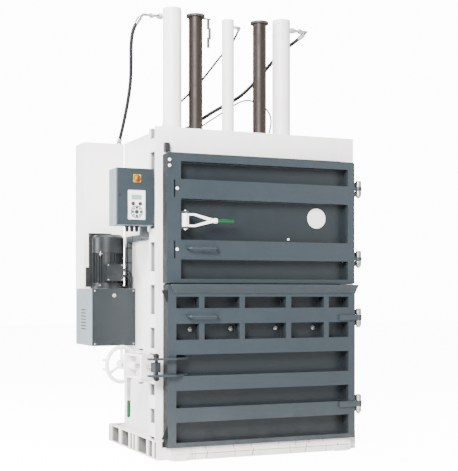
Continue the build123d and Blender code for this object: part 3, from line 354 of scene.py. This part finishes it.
# Small rounded edges on the folded and welded sheet
for name, width in (("base_frame", 0.002), ("front_posts", 0.002), ("front_header", 0.002), ("top_deck", 0.001),
                    ("upper_door", 0.0022), ("lower_door", 0.0022), ("control_cabinet", 0.0008),
                    ("power_housing", 0.0012), ("power_cover", 0.0012), ("power_door", 0.002),
                    ("lock_lugs", 0.0015), ("lock_bracket", 0.001), ("lower_hinge_arms", 0.0015),
                    ("upper_hinge_arms", 0.0015), ("hinge_brackets", 0.001), ("press_platen", 0.0015)):
    soft_edge = nodes[name].modifiers.new("soft_edge", "BEVEL")
    soft_edge.width = width
    soft_edge.segments = 2
    soft_edge.limit_method = "ANGLE"
    soft_edge.angle_limit = math.radians(50)


# Mesh helpers
def side_of(way):
    """A direction square to way."""
    return way.cross(UP if abs(way.z) < 0.9 else Vector((1, 0, 0))).normalized()


def around(count):
    """Ways out to count places on a level circle, the first half a step from the X axis."""
    turns = [math.tau * (i + 0.5) / count for i in range(count)]
    return [Vector((math.cos(turn), math.sin(turn), 0)) for turn in turns]


def join(bm, part):
    """Moves the mesh of part into bm."""
    mesh = bpy.data.meshes.new("part")
    part.to_mesh(mesh)
    part.free()
    bm.from_mesh(mesh)
    bpy.data.meshes.remove(mesh)


def lathe(bm, start, way, profile, steps=32, mat=0, first=None, capped=False):
    """A turned shape: profile is (radius, height along way) from end to end.

    first is the way to the first point of each ring, and capped closes open ends with a flat face."""
    way = Vector(way).normalized()
    start = Vector(start)
    side = side_of(way) if first is None else first
    part = bmesh.new()
    line = [part.verts.new(start + way * height + side * radius) for radius, height in profile]
    edges = [part.edges.new(pair) for pair in zip(line, line[1:])]
    bmesh.ops.spin(part, geom=line + edges, cent=start, axis=way, angle=math.tau, steps=steps, use_merge=True)
    bmesh.ops.remove_doubles(part, verts=part.verts, dist=1e-6)
    if capped:
        bmesh.ops.holes_fill(part, edges=part.edges, sides=0)
    for face in part.faces:
        face.material_index = mat
    join(bm, part)


def plate(bm, outline, depth):
    """A flat plate: outline is one face's edge, and depth is the way to the other face."""
    face = bm.faces.new([bm.verts.new(corner) for corner in outline])
    made = bmesh.ops.extrude_face_region(bm, geom=[face])["geom"]
    bmesh.ops.translate(bm, verts=[part for part in made if isinstance(part, bmesh.types.BMVert)], vec=depth)


def slab(bm, centre, size, axes=None, edge=0.0006, mat=0):
    """A plate or bar with rounded edges, square to axes."""
    made = bmesh.ops.create_cube(bm, size=1.0)["verts"]
    turn = Matrix(axes).transposed().to_4x4() if axes else Matrix.Identity(4)
    bmesh.ops.transform(bm, verts=made,
                        matrix=Matrix.Translation(centre) @ turn @ Matrix.Diagonal((*size, 1)))
    faces = {f for v in made for f in v.link_faces}
    for face in faces:
        face.material_index = mat
    if edge:
        bmesh.ops.bevel(bm, geom=list({e for v in made for e in v.link_edges}), offset=edge, segments=2,
                        profile=0.5, affect="EDGES", material=-1)


def hex_head(bm, at, way, across, height, mat=0):
    """A hexagon head or nut with its washer and rounded top."""
    way = Vector(way).normalized()
    at = Vector(at)
    lathe(bm, at, way, [(0, 0), (across * 0.92, 0), (across * 0.95, height * 0.08), (across * 0.92, height * 0.2),
                        (0, height * 0.2)], 28, mat)
    lathe(bm, at, way, [(across * 0.56, height * 0.2), (across * 0.577, height * 0.25),
                        (across * 0.577, height * 0.9), (across * 0.52, height)], 6, mat, capped=True)
    lathe(bm, at + way * height, way, [(across * 0.3, -0.0002), (across * 0.3, height * 0.22),
                                       (across * 0.24, height * 0.3), (0, height * 0.3)], 20, mat)


def dome_head(bm, at, way, radius, height, mat=0):
    """A round screw head with a socket."""
    lathe(bm, at, way, [(0, 0), (radius, 0), (radius, height * 0.35), (radius * 0.86, height * 0.75),
                        (radius * 0.55, height), (radius * 0.42, height), (radius * 0.40, height * 0.45),
                        (0, height * 0.45)], 24, mat)


def ring(bm, centre, way, radius, thick, steps=48):
    """A round bar bent to a closed ring."""
    turns = [math.tau * k / 12 for k in range(13)]
    lathe(bm, centre, way, [(radius + thick * math.cos(t), thick * math.sin(t)) for t in turns], steps)


def bead(bm, start, end, radius, seed):
    """A weld bead: overlapping ripples along a seam."""
    start, end = Vector(start), Vector(end)
    dice = random.Random(seed)
    length = (end - start).length
    count = max(6, int(length / 0.0035))
    ripples = []
    for i in range(count + 1):
        swell = radius * (1.0 + 0.16 * math.sin(i * 2.4) + dice.uniform(-0.1, 0.1))
        ripples.append((swell, length * i / count))
    lathe(bm, start, end - start, ripples, 8, capped=True)


def piece(name, bm, body, materials, sharp=38):
    """The finished piece, riding on its body."""
    bmesh.ops.recalc_face_normals(bm, faces=bm.faces)
    mesh = bpy.data.meshes.new(name)
    bm.to_mesh(mesh)
    bm.free()
    for polygon in mesh.polygons:
        polygon.use_smooth = True
    mesh.set_sharp_from_angle(angle=math.radians(sharp))
    for material in [materials] if isinstance(materials, str) else materials:
        mesh.materials.append(mats[material])
    obj = bpy.data.objects.new(name, mesh)
    bpy.context.collection.objects.link(obj)
    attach(obj, body)
    return obj


# Floor
floor = bmesh.new()
bmesh.ops.create_grid(floor, x_segments=1, y_segments=1, size=30)
floor_mesh = bpy.data.meshes.new("floor")
floor.to_mesh(floor_mesh)
floor.free()
floor_obj = bpy.data.objects.new("floor", floor_mesh)
floor_look = Shader("floor")
floor_look.set(Base_Color=floor_look.mix(floor_look.noise(3, 3.0), (0.93, 0.935, 0.94), (0.95, 0.955, 0.96)),
               Roughness=0.6)
floor_look.set(Emission_Color=(1, 1, 1), Emission_Strength=camera_ray(floor_look.tree) * FLOOR_SEEN)
floor_mesh.materials.append(floor_look.material)
bpy.context.collection.objects.link(floor_obj)


# Hoses and cables, on the routes of the CAD
def cord(name, points, diameter, node):
    """A round hose or cable along points, which stands for the CAD's own."""
    curve = bpy.data.curves.new(name, "CURVE")
    curve.dimensions = "3D"
    curve.bevel_depth = diameter / 2
    curve.bevel_resolution = 6
    curve.resolution_u = 14
    curve.use_fill_caps = True
    spline = curve.splines.new("NURBS")
    spline.points.add(len(points) - 1)
    for place, point in zip(spline.points, points):
        place.co = (*point, 1)
    spline.order_u = 3
    spline.use_endpoint_u = True
    curve.materials.append(mats["black_rubber"])
    obj = bpy.data.objects.new(name, curve)
    bpy.context.collection.objects.link(obj)
    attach(obj, "frame")
    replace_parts(obj, node)


LEFT_ROUTE = [(-0.652, 0.010, 2.886), (-0.682, 0.030, 2.836), (-0.684, 0.072, 2.740), (-0.664, 0.132, 2.635),
              (-0.640, 0.210, 2.520), (-0.632, 0.300, 2.385), (-0.634, 0.390, 2.250), (-0.642, 0.470, 2.128)]
CENTRE_ROUTE = [(0.090, 0.018, 2.899), (0.097, 0.060, 2.880), (0.084, 0.094, 2.835), (0.048, 0.112, 2.780),
                (-0.010, 0.122, 2.715), (-0.075, 0.127, 2.630), (-0.140, 0.135, 2.545), (-0.215, 0.150, 2.460),
                (-0.285, 0.172, 2.390), (-0.345, 0.198, 2.335), (-0.382, 0.220, 2.285), (-0.390, 0.228, 2.236)]
RIGHT_ROUTE = [(-0.305, 0.200, 2.180), (-0.235, 0.190, 2.200), (-0.150, 0.165, 2.262), (-0.050, 0.148, 2.332),
               (0.060, 0.136, 2.393), (0.160, 0.130, 2.456), (0.252, 0.128, 2.545), (0.350, 0.122, 2.658),
               (0.430, 0.116, 2.752), (0.505, 0.088, 2.826), (0.550, 0.046, 2.862), (0.580, 0.014, 2.893)]
THIN_ROUTE = [(-0.305, 0.232, 2.120), (-0.240, 0.214, 2.142), (-0.150, 0.172, 2.212), (-0.040, 0.142, 2.290),
              (0.050, 0.124, 2.350), (0.118, 0.114, 2.396), (0.180, 0.112, 2.424), (0.240, 0.109, 2.421),
              (0.298, 0.104, 2.402), (0.345, 0.100, 2.370), (0.374, 0.100, 2.328), (0.382, 0.100, 2.283),
              (0.375, 0.100, 2.236), (0.363, 0.100, 2.188), (0.357, 0.100, 2.140), (0.356, 0.100, 2.094)]
UPPER_CABLE = [(-0.6935, 0.190, 1.205), (-0.665, 0.190, 1.205), (-0.644, 0.191, 1.183), (-0.638, 0.193, 1.146),
               (-0.639, 0.195, 1.112), (-0.641, 0.198, 1.080)]
LOWER_CABLE = [(-0.6935, 0.190, 1.165), (-0.677, 0.190, 1.165), (-0.664, 0.191, 1.150), (-0.661, 0.193, 1.127),
               (-0.662, 0.195, 1.103), (-0.663, 0.198, 1.080)]
cord("left_hose_line", LEFT_ROUTE, 0.025, "left_hose")
cord("centre_hose_line", CENTRE_ROUTE, 0.015, "centre_hose")
cord("right_hose_line", RIGHT_ROUTE, 0.025, "right_hose")
cord("thin_hose_line", THIN_ROUTE, 0.011, "thin_hose")
cord("upper_cable_line", UPPER_CABLE, 0.012, "motor_cables")
cord("lower_cable_line", LOWER_CABLE, 0.012, "motor_cables")

# Coloured rings and crimped sleeves at the hose ends
bm = bmesh.new()
for points, radius in ((LEFT_ROUTE, 0.0158), (CENTRE_ROUTE, 0.0108), (RIGHT_ROUTE[::-1], 0.0158)):
    way = (Vector(points[0]) - Vector(points[1])).normalized()
    ring(bm, Vector(points[0]) + way * 0.012, way, radius, 0.0022)
piece("port_rings", bm, "frame", "red_plastic")
bm = bmesh.new()
for points, radius in ((LEFT_ROUTE, 0.0155), (CENTRE_ROUTE, 0.0105), (RIGHT_ROUTE, 0.0155), (THIN_ROUTE, 0.0085)):
    for near, far in ((points[0], points[1]), (points[-1], points[-2])):
        way = (Vector(far) - Vector(near)).normalized()
        profile = [(radius * 0.8, 0)]
        for step in range(4):
            base = 0.0015 + step * 0.006
            profile += [(radius, base), (radius, base + 0.0038), (radius * 0.93, base + 0.0044),
                        (radius * 0.93, base + 0.0056)]
        profile += [(radius * 0.86, 0.0265), (radius * 0.7, 0.0270)]
        lathe(bm, near, way, profile, 28)
piece("hose_sleeves", bm, "frame", "bright_steel")

# Hexagon nuts of the port fittings
bm = bmesh.new()
for start, way, radius, reach in (((-0.487, 0, 2.925), (-1, 0, 0), 0.0205, 0.026),
                                  ((-0.548, 0, 2.925), (-1, 0, 0), 0.0185, 0.022),
                                  ((0.487, 0, 2.925), (1, 0, 0), 0.0205, 0.026),
                                  ((0.548, 0, 2.925), (1, 0, 0), 0.0185, 0.022),
                                  ((0.0555, 0, 2.904), (1, 0, 0), 0.0135, 0.015)):
    lathe(bm, start, way, [(0, 0), (radius * 0.86, 0), (radius, 0.002), (radius, reach - 0.002),
                           (radius * 0.86, reach), (0, reach)], 6)
    lathe(bm, Vector(start) + Vector(way) * reach, way, [(0, 0), (radius * 0.72, 0), (radius * 0.72, 0.005),
                                                        (radius * 0.6, 0.006), (0, 0.006)], 28)
piece("port_nuts", bm, "frame", "bright_steel")

# Cylinders: bolted top caps, seam rings and gland rings
bm = bmesh.new()
for x, top, radius in ((-CYL_X, CYL_TOP, 0.063), (CYL_X, CYL_TOP, 0.063), (0.0, CENTRE_TOP, 0.0415)):
    for level in (top - 0.026, top - 0.105, DECK_TOP + 0.005):
        ring(bm, (x, 0, level), UP, radius - 0.0006, 0.0022, 64)
    for out in around(8):
        dome_head(bm, Vector((x, 0, top)) - UP * 0.0035 + out * radius * 0.74, UP, 0.0055, 0.0032)
piece("cylinder_seams", bm, "frame", "white_paint")

# Column caps: socket screws; bushes: ring of screws
bm = bmesh.new()
for side in (-1, 1):
    lathe(bm, (side * GUIDE_X, 0, 2.959), UP, [(0, 0), (0.020, 0), (0.020, 0.004), (0.017, 0.006), (0.010, 0.006),
                                               (0.009, 0.001), (0, 0.001)], 32)
piece("column_screws", bm, "platen", "dark_cap")
bm = bmesh.new()
for side in (-1, 1):
    for out in around(6):
        hex_head(bm, Vector((side * GUIDE_X, 0, DECK_TOP)) + out * 0.0605, UP, 0.009, 0.006)
piece("bush_screws", bm, "frame", "bright_steel")

# Ribs of the doors, from bottom to top, by the lower and upper edge of each
UPPER_RIBS = ((1.110, 1.136), (1.258, 1.380), (1.638, 1.760), (1.871, 1.922))
LOWER_RIBS = ((0.082, 0.111), (0.238, 0.328), (0.436, 0.528), (0.662, 0.754), (0.855, 0.952), (1.024, 1.100))


def rib_welds(bm, ribs, left, right, skin, along_seed, end_seed):
    """Beads on the skin along the ribs, and on the side folds at their ends, except at the door's own edges."""
    for rib, (low, high) in enumerate(ribs):
        for level, off in ((low, -0.0006), (high, 0.0006)):
            if ribs[0][0] < level < ribs[-1][1]:
                bead(bm, (left, skin - 0.001, level + off), (right, skin - 0.001, level + off), 0.003,
                     along_seed + rib)
                for x in (left - 0.002, right + 0.002):
                    bead(bm, (x, DOOR_Y + 0.001, level), (x, skin, level), 0.0026, end_seed + rib)


# Upper door: round blank badge, screws, weld seams and the latch's nuts
bm = bmesh.new()
lathe(bm, (0.415, UPPER_SKIN_Y + 0.0002, 1.544), FRONT,
      [(0, 0), (0.066, 0), (0.067, 0.001), (0.067, 0.0042), (0.0655, 0.0052), (0.061, 0.0052), (0.060, 0.0042),
       (0, 0.0042)], 96)
piece("blank_badge", bm, "upper_leaf", "plain_badge")
bm = bmesh.new()
for x, z in ((-0.650, 1.877), (-0.650, 1.841), (-0.599, 1.700), (-0.599, 1.320)):
    dome_head(bm, (x, DOOR_Y, z), FRONT, 0.0105, 0.006)
dome_head(bm, (0.207, UPPER_SKIN_Y, 1.400), FRONT, 0.009, 0.006)
piece("upper_door_screws", bm, "upper_leaf", "white_plastic")
bm = bmesh.new()
rib_welds(bm, UPPER_RIBS, -0.572, 0.616, UPPER_SKIN_Y, 0, 9)
piece("upper_door_welds", bm, "upper_leaf", "door_paint")
bm = bmesh.new()
for side in (-1, 1):
    hex_head(bm, (-0.555, -0.622, 1.502 + side * 0.0535), UP * side, 0.021, 0.0085)
piece("latch_nuts", bm, "upper_leaf", "bright_steel")

# Lower door: window screws, weld seams, side gussets and lip welds
bm = bmesh.new()
for x in (-0.482, -0.201, 0.120, 0.397):
    hex_head(bm, (x, LOWER_SKIN_Y, 0.817), FRONT, 0.016, 0.007)
piece("window_screws", bm, "lower_leaf", "bright_steel")
bm = bmesh.new()
rib_welds(bm, LOWER_RIBS, -0.603, 0.620, LOWER_SKIN_Y, 20, 30)
for x in (-0.434, -0.155, 0.176, 0.455):
    for low, high in ((0.754, 0.855), (0.952, 1.024)):
        for side in (-1, 1):
            seam = x + side * 0.0185
            bead(bm, (seam, LOWER_SKIN_Y - 0.001, low), (seam, LOWER_SKIN_Y - 0.001, high), 0.0026, 50)
bead(bm, (-0.600, DOOR_Y - 0.0005, 1.041), (0.660, DOOR_Y - 0.0005, 1.041), 0.0028, 60)
piece("lower_door_welds", bm, "lower_leaf", "door_paint")
bm = bmesh.new()
for top, wide in ((1.066, 0.0), (0.218, -0.082)):
    corners = [(-0.661, DOOR_Y + 0.012, top), (-0.661, DOOR_Y + 0.012, top - 0.082),
               (-0.697, DOOR_Y + 0.012, top + wide)]
    plate(bm, corners, (0, 0.010, 0))
piece("door_gussets", bm, "lower_leaf", "door_paint")

# Header and posts: weld seams
bm = bmesh.new()
for side in (-1, 1):
    bead(bm, (side * 0.612, POST_FRONT_Y - 0.0005, 1.94), (side * 0.612, POST_FRONT_Y - 0.0005, 2.058), 0.0022, 70)
bead(bm, (-0.60, -0.4905, 2.0625), (0.60, -0.4905, 2.0625), 0.0024, 71)
for z in BATTEN_ZS:
    for edge in (-0.041, 0.041):
        bead(bm, (POST_SIDE, -0.489, z + edge), (POST_SIDE, -0.395, z + edge), 0.0018, 72)
piece("frame_welds", bm, "frame", "white_paint")

# Base: slanted slots and joint lines of the apron, washers of the anchor holes
bm = bmesh.new()
for x in (-0.399, -0.080, 0.302, 0.534):
    slab(bm, (x, DOOR_Y - 0.0003, 0.030), (0.0035, 0.0012, 0.050), LEANING, 0.0)
for x in (-0.500, -0.480, -0.206, 0.185, 0.451):
    slab(bm, (x, DOOR_Y - 0.0003, 0.0285), (0.0022, 0.0012, 0.056), None, 0.0)
slab(bm, (0.058, DOOR_Y - 0.0003, 0.0385), (1.160, 0.0012, 0.0022), None, 0.0)
piece("apron_joints", bm, "frame", "dark_gap")
bm = bmesh.new()
for x in (-0.665, 0.665):
    for y in (-0.300, 0.400):
        lathe(bm, (x, y, 0.1202), UP, [(0.0095, 0), (0.017, 0), (0.017, 0.003), (0.0095, 0.003), (0.0095, 0)])
piece("anchor_washers", bm, "frame", "bright_steel")

# Screw lock: wheel, grips and nuts
wheel_centre = LOCK + LOCK_DIR * 0.384
spoke_deep = 0.0065
hub_reach = 0.024
spoke_reach = 0.080


def wheel_way(angle):
    """The way out from the wheel's centre, with the angle in degrees from the level."""
    return LOCK_SIDE * math.cos(math.radians(angle)) + UP * math.sin(math.radians(angle))


bm = bmesh.new()
ring(bm, wheel_centre, LOCK_DIR, 0.112, 0.0125, 96)
lathe(bm, wheel_centre - LOCK_DIR * 0.014, LOCK_DIR,
      [(0, 0), (0.026, 0), (0.030, 0.004), (0.030, 0.026), (0.028, 0.032), (0.022, 0.040), (0.012, 0.0445),
       (0, 0.0455)], 48)
for angle in (90, 210, 330):
    out = wheel_way(angle)
    across = LOCK_DIR.cross(out)
    spoke = bmesh.new()
    lathe(spoke, wheel_centre, out, [(spoke_deep, hub_reach + spoke_reach * i / 10) for i in range(11)], 12,
          first=across, capped=True)
    for vert in spoke.verts:
        place = vert.co - wheel_centre
        wide = 0.0125 - 0.0045 * math.sin(math.pi * (place.dot(out) - hub_reach) / spoke_reach)
        vert.co += across * (place.dot(across) * (wide / spoke_deep - 1))
    join(bm, spoke)
for angle in (165, 195):
    out = wheel_way(angle)
    lathe(bm, wheel_centre + out * 0.111, LOCK_DIR,
          [(0.0075, 0.0), (0.0075, 0.012), (0.0062, 0.016), (0.0062, 0.020), (0.0080, 0.024), (0.0080, 0.046),
           (0.0068, 0.0515), (0, 0.0525)], 28)
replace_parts(piece("wheel_shape", bm, "wheel", "wheel_white"), "handwheel")
thread_pitch = 0.0035
bm = bmesh.new()
lathe(bm, LOCK + LOCK_DIR * 0.060, LOCK_DIR,
      [(0.0, -0.020), (0.0098, -0.019)]
      + [(0.0118 if k % 2 else 0.0106, thread_pitch * k / 2 - 0.018) for k in range(100)]
      + [(0.0118, 0.160), (0.0118, 0.309), (0, 0.309)], 28)
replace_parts(piece("threaded_spindle", bm, "wheel", "bright_steel"), "lock_spindle")


def grip(start, way, length, radius):
    """A moulded grip with a collar, soft finger waist and a rounded end."""
    shape = [(0, 0), (radius * 0.92, 0), (radius, 0.0015), (radius, 0.006), (radius * 0.93, 0.0085)]
    for i in range(11):
        t = i / 10
        shape.append((radius * (0.93 + 0.06 * math.sin(math.pi * t)), 0.009 + t * (length - 0.024)))
    shape += [(radius * 0.97, length - 0.012), (radius * 0.90, length - 0.006), (radius * 0.70, length - 0.002),
              (radius * 0.35, length - 0.0003), (0, length)]
    made = bmesh.new()
    lathe(made, start, way, shape, 40)
    return made


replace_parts(piece("latch_grip_shape", grip((-0.343, -0.622, 1.502), (1, 0, 0), 0.120, 0.012), "latch",
                  "green_plastic"), "latch_grip")
lever_top = LOCK + LOCK_DIR * 0.303 - UP * 0.226
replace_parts(piece("lever_grip_shape", grip(lever_top, (0, 0, -1), 0.110, 0.012), "hanging_lever",
                  "green_plastic"), "lock_lever_grip")
bm = bmesh.new()
hex_head(bm, LOCK + LOCK_DIR * 0.3145 - UP * 0.062, LOCK_DIR, 0.016, 0.008)
piece("lever_nut", bm, "lock_swivel", "dark_steel")
bm = bmesh.new()
pivot = LOCK + LOCK_DIR * 0.165
for side in (-1, 1):
    hex_head(bm, pivot + UP * side * 0.103, UP * side, 0.022, 0.006)
piece("lock_nuts", bm, "frame", "blued_steel")
bm = bmesh.new()
for side in (-1, 1):
    hex_head(bm, LOCK + UP * side * 0.073, UP * side, 0.026, 0.010)
piece("lug_nuts", bm, "lower_leaf", "blued_steel")

# Control cabinet: display, film borders, key marks, hinge pins, lock, screws, switch and cable glands
bm = bmesh.new()
slab(bm, (KEYPAD_X, CAB_FACE - 0.0036, 1.644), (0.0655, 0.0012, 0.0295), None, 0.0004)
piece("display_window", bm, "cabinet_door", "display")
bm = bmesh.new()
for z, tall in ((1.6855, 0.0012), (1.5085, 0.0012), (1.6225, 0.0008), (1.5895, 0.0006)):
    slab(bm, (KEYPAD_X, FILM_FACE - 0.0002, z), (0.104, 0.0005, tall), None, 0.0)
for side in (-1, 1):
    slab(bm, (KEYPAD_X + side * 0.0515, FILM_FACE - 0.0002, 1.597), (0.0012, 0.0005, 0.177), None, 0.0)
piece("film_lines", bm, "cabinet_door", "film_grey")
bm = bmesh.new()
lathe(bm, (KEYPAD_X, FILM_FACE, PAD_Z), FRONT,
      [(0.0333, 0), (0.0392, 0.0002), (0.0392, 0.0006), (0.0333, 0.0006), (0.0333, 0)], 64)
piece("pad_surround", bm, "cabinet_door", "dark_film")
bm = bmesh.new()
pad = Vector((KEYPAD_X, CAB_FACE - 0.0074, PAD_Z))
for turn in range(8):
    mid = math.tau * turn / 8
    half, inner, outer = (0.24, 0.0215, 0.0300) if turn % 2 else (0.30, 0.0185, 0.0318)
    arc = [mid - half + 2 * half * step / 8 for step in range(9)]
    outline = [(outer * math.cos(t), outer * math.sin(t)) for t in arc]
    outline += [(inner * math.cos(t), inner * math.sin(t)) for t in arc[::-1]]
    plate(bm, [pad + Vector((x, 0, z)) for x, z in outline], (0, 0.0009, 0))
piece("pad_keys", bm, "key_direction", "key_grey")
bm = bmesh.new()
for side in (-1, 1):
    lathe(bm, (KEYPAD_X + side * 0.023, FILM_FACE, 1.604), FRONT,
          [(0.0110, 0), (0.0128, 0.0002), (0.0128, 0.0006), (0.0110, 0.0006), (0.0110, 0)], 40)
piece("key_rings", bm, "cabinet_door", "dark_film")
bm = bmesh.new()
for z in (1.789, 1.512):
    lathe(bm, (-0.7155, -0.4885, z - 0.020), UP,
          [(0, 0), (0.0038, 0), (0.0045, 0.0012), (0.0045, 0.0388), (0.0038, 0.040), (0, 0.040)], 24)
piece("cabinet_hinge_pins", bm, "frame", "dark_steel")
bm = bmesh.new()
lathe(bm, (-0.9445, CAB_FACE, 1.660), FRONT,
      [(0, 0), (0.0095, 0), (0.0095, 0.0035), (0.0082, 0.005), (0.0045, 0.005), (0.0040, 0.0022), (0, 0.0022)], 36)
piece("cabinet_lock", bm, "cabinet_door", "black_plastic")
bm = bmesh.new()
for side in (-1, 1):
    for level in (-1, 1):
        dome_head(bm, (SWITCH_X + side * 0.019, CAB_FACE - 0.0049, SWITCH_Z + level * 0.019), FRONT, 0.0022, 0.0012)
piece("switch_screws", bm, "cabinet_door", "bright_steel")
bm = bmesh.new()
lathe(bm, (SWITCH_X, CAB_FACE - 0.0051, SWITCH_Z), FRONT,
      [(0.0192, 0), (0.0215, 0.0002), (0.0215, 0.0016), (0.0192, 0.0018), (0.0192, 0)], 48)
piece("switch_collar", bm, "cabinet_door", "black_plastic")
bm = bmesh.new()
knob_at = Vector((SWITCH_X, CAB_FACE - 0.0055, SWITCH_Z))
lathe(bm, knob_at, FRONT,
      [(0, 0), (0.0168, 0), (0.0172, 0.001), (0.0165, 0.0085), (0.0150, 0.0100), (0, 0.0100)], 48, 1)
slab(bm, knob_at + Vector((0.0, -0.0165, -0.001)), (0.0125, 0.0150, 0.0330), LEANING, 0.003)
slab(bm, knob_at + Vector((0, -0.0108, -0.0105)), (0.021, 0.003, 0.0125), None, 0.001)
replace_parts(piece("knob_shape", bm, "knob", ["red_plastic", "yellow_plastic"]), "switch_knob")
bm = bmesh.new()
for x in (KEYPAD_X + 0.032, KEYPAD_X, KEYPAD_X - 0.032):
    hex_head(bm, (x, -0.400, 1.4718), (0, 0, -1), 0.024, 0.010)
    lathe(bm, (x, -0.400, 1.4480), (0, 0, -1), [(0.0085, 0), (0.0105, 0.002), (0.0105, 0.008), (0.0075, 0.014),
                                                (0, 0.014)], 28)
piece("cabinet_gland_nuts", bm, "frame", "black_plastic")

# Motor: rim screws, lifting eye, terminal lid and its gland nuts
bm = bmesh.new()
for out in around(4):
    hex_head(bm, MOTOR + out * 0.1135 + UP * 1.096, UP, 0.014, 0.008)
ring(bm, MOTOR + Vector((-0.075, -0.083, 1.318)), Vector((0.74, -0.67, 0)), 0.015, 0.0042, 32)
piece("motor_screws", bm, "frame", "bright_steel")
bm = bmesh.new()
slab(bm, (-0.7775, 0.1290, 1.189), (0.111, 0.003, 0.113), None, 0.0012)
for x in (-0.826, -0.729):
    for z in (1.139, 1.239):
        dome_head(bm, (x, 0.1280, z), FRONT, 0.0042, 0.0026, 1)
piece("terminal_lid", bm, "frame", ["motor_grey", "bright_steel"])
bm = bmesh.new()
for z in (1.165, 1.205):
    lathe(bm, (-0.7195, CABLE_Y, z), (1, 0, 0),
          [(0, 0), (0.0135, 0), (0.0135, 0.009), (0.0118, 0.010), (0.0118, 0.021), (0.0095, 0.0265),
           (0.0052, 0.0275), (0, 0.0275)], 6)
piece("motor_gland_nuts", bm, "frame", "bright_steel")

# A dark sheet of painted shade inside the tall cover, seen through its cut-out
bm = bmesh.new()
slab(bm, (-0.7645, 0.444, 1.270), (0.284, 0.004, 0.378), None, 0.0)
slab(bm, (-0.873, 0.4385, 1.155), (0.030, 0.003, 0.060), None, 0.001)
piece("cover_shade_sheet", bm, "frame", "dark_gap")

# Power pack: vent rows and door screws, flush on the hinge side that swings to the wall
bm = bmesh.new()
for x, proud in ((-0.909, 0.003), (-0.634, 0.001)):
    for z in (0.702, 1.064):
        dome_head(bm, (x, 0.1690, z), FRONT, 0.006, proud)
piece("pack_door_screws", bm, "pack_door", "bright_steel")
# The vent rows are dark strips of painted shade in the slots.
bm = bmesh.new()
for row in range(7):
    slab(bm, (-0.9233, 0.40, 0.80 + row * 0.022), (0.0016, 0.12, 0.006), None, 0.0007)
piece("pack_vents", bm, "frame", "dark_gap")

# Duct: clips to the wall
bm = bmesh.new()
for z in (1.16, 1.26, 1.36):
    slab(bm, (DUCT_X, 0.2625, z), (0.033, 0.049, 0.012), None, 0.001)
for y in (-0.25, -0.05, 0.15):
    slab(bm, (DUCT_X, y, 1.420), (0.033, 0.012, 0.0435), None, 0.001)
piece("duct_clips", bm, "frame", "black_plastic")

# Hinges: pin heads
bm = bmesh.new()
for z, height in ((1.277, 0.024), (1.746, 0.024), (0.308, 0.036), (0.884, 0.036)):
    top = z + height / 2 + 0.0345
    lathe(bm, (HINGE_X, -0.590, top), UP,
          [(0, 0), (0.0165, 0), (0.0175, 0.001), (0.0175, 0.006), (0.0150, 0.0085), (0, 0.0092)], 36)
piece("hinge_pin_heads", bm, "frame", "bright_steel")
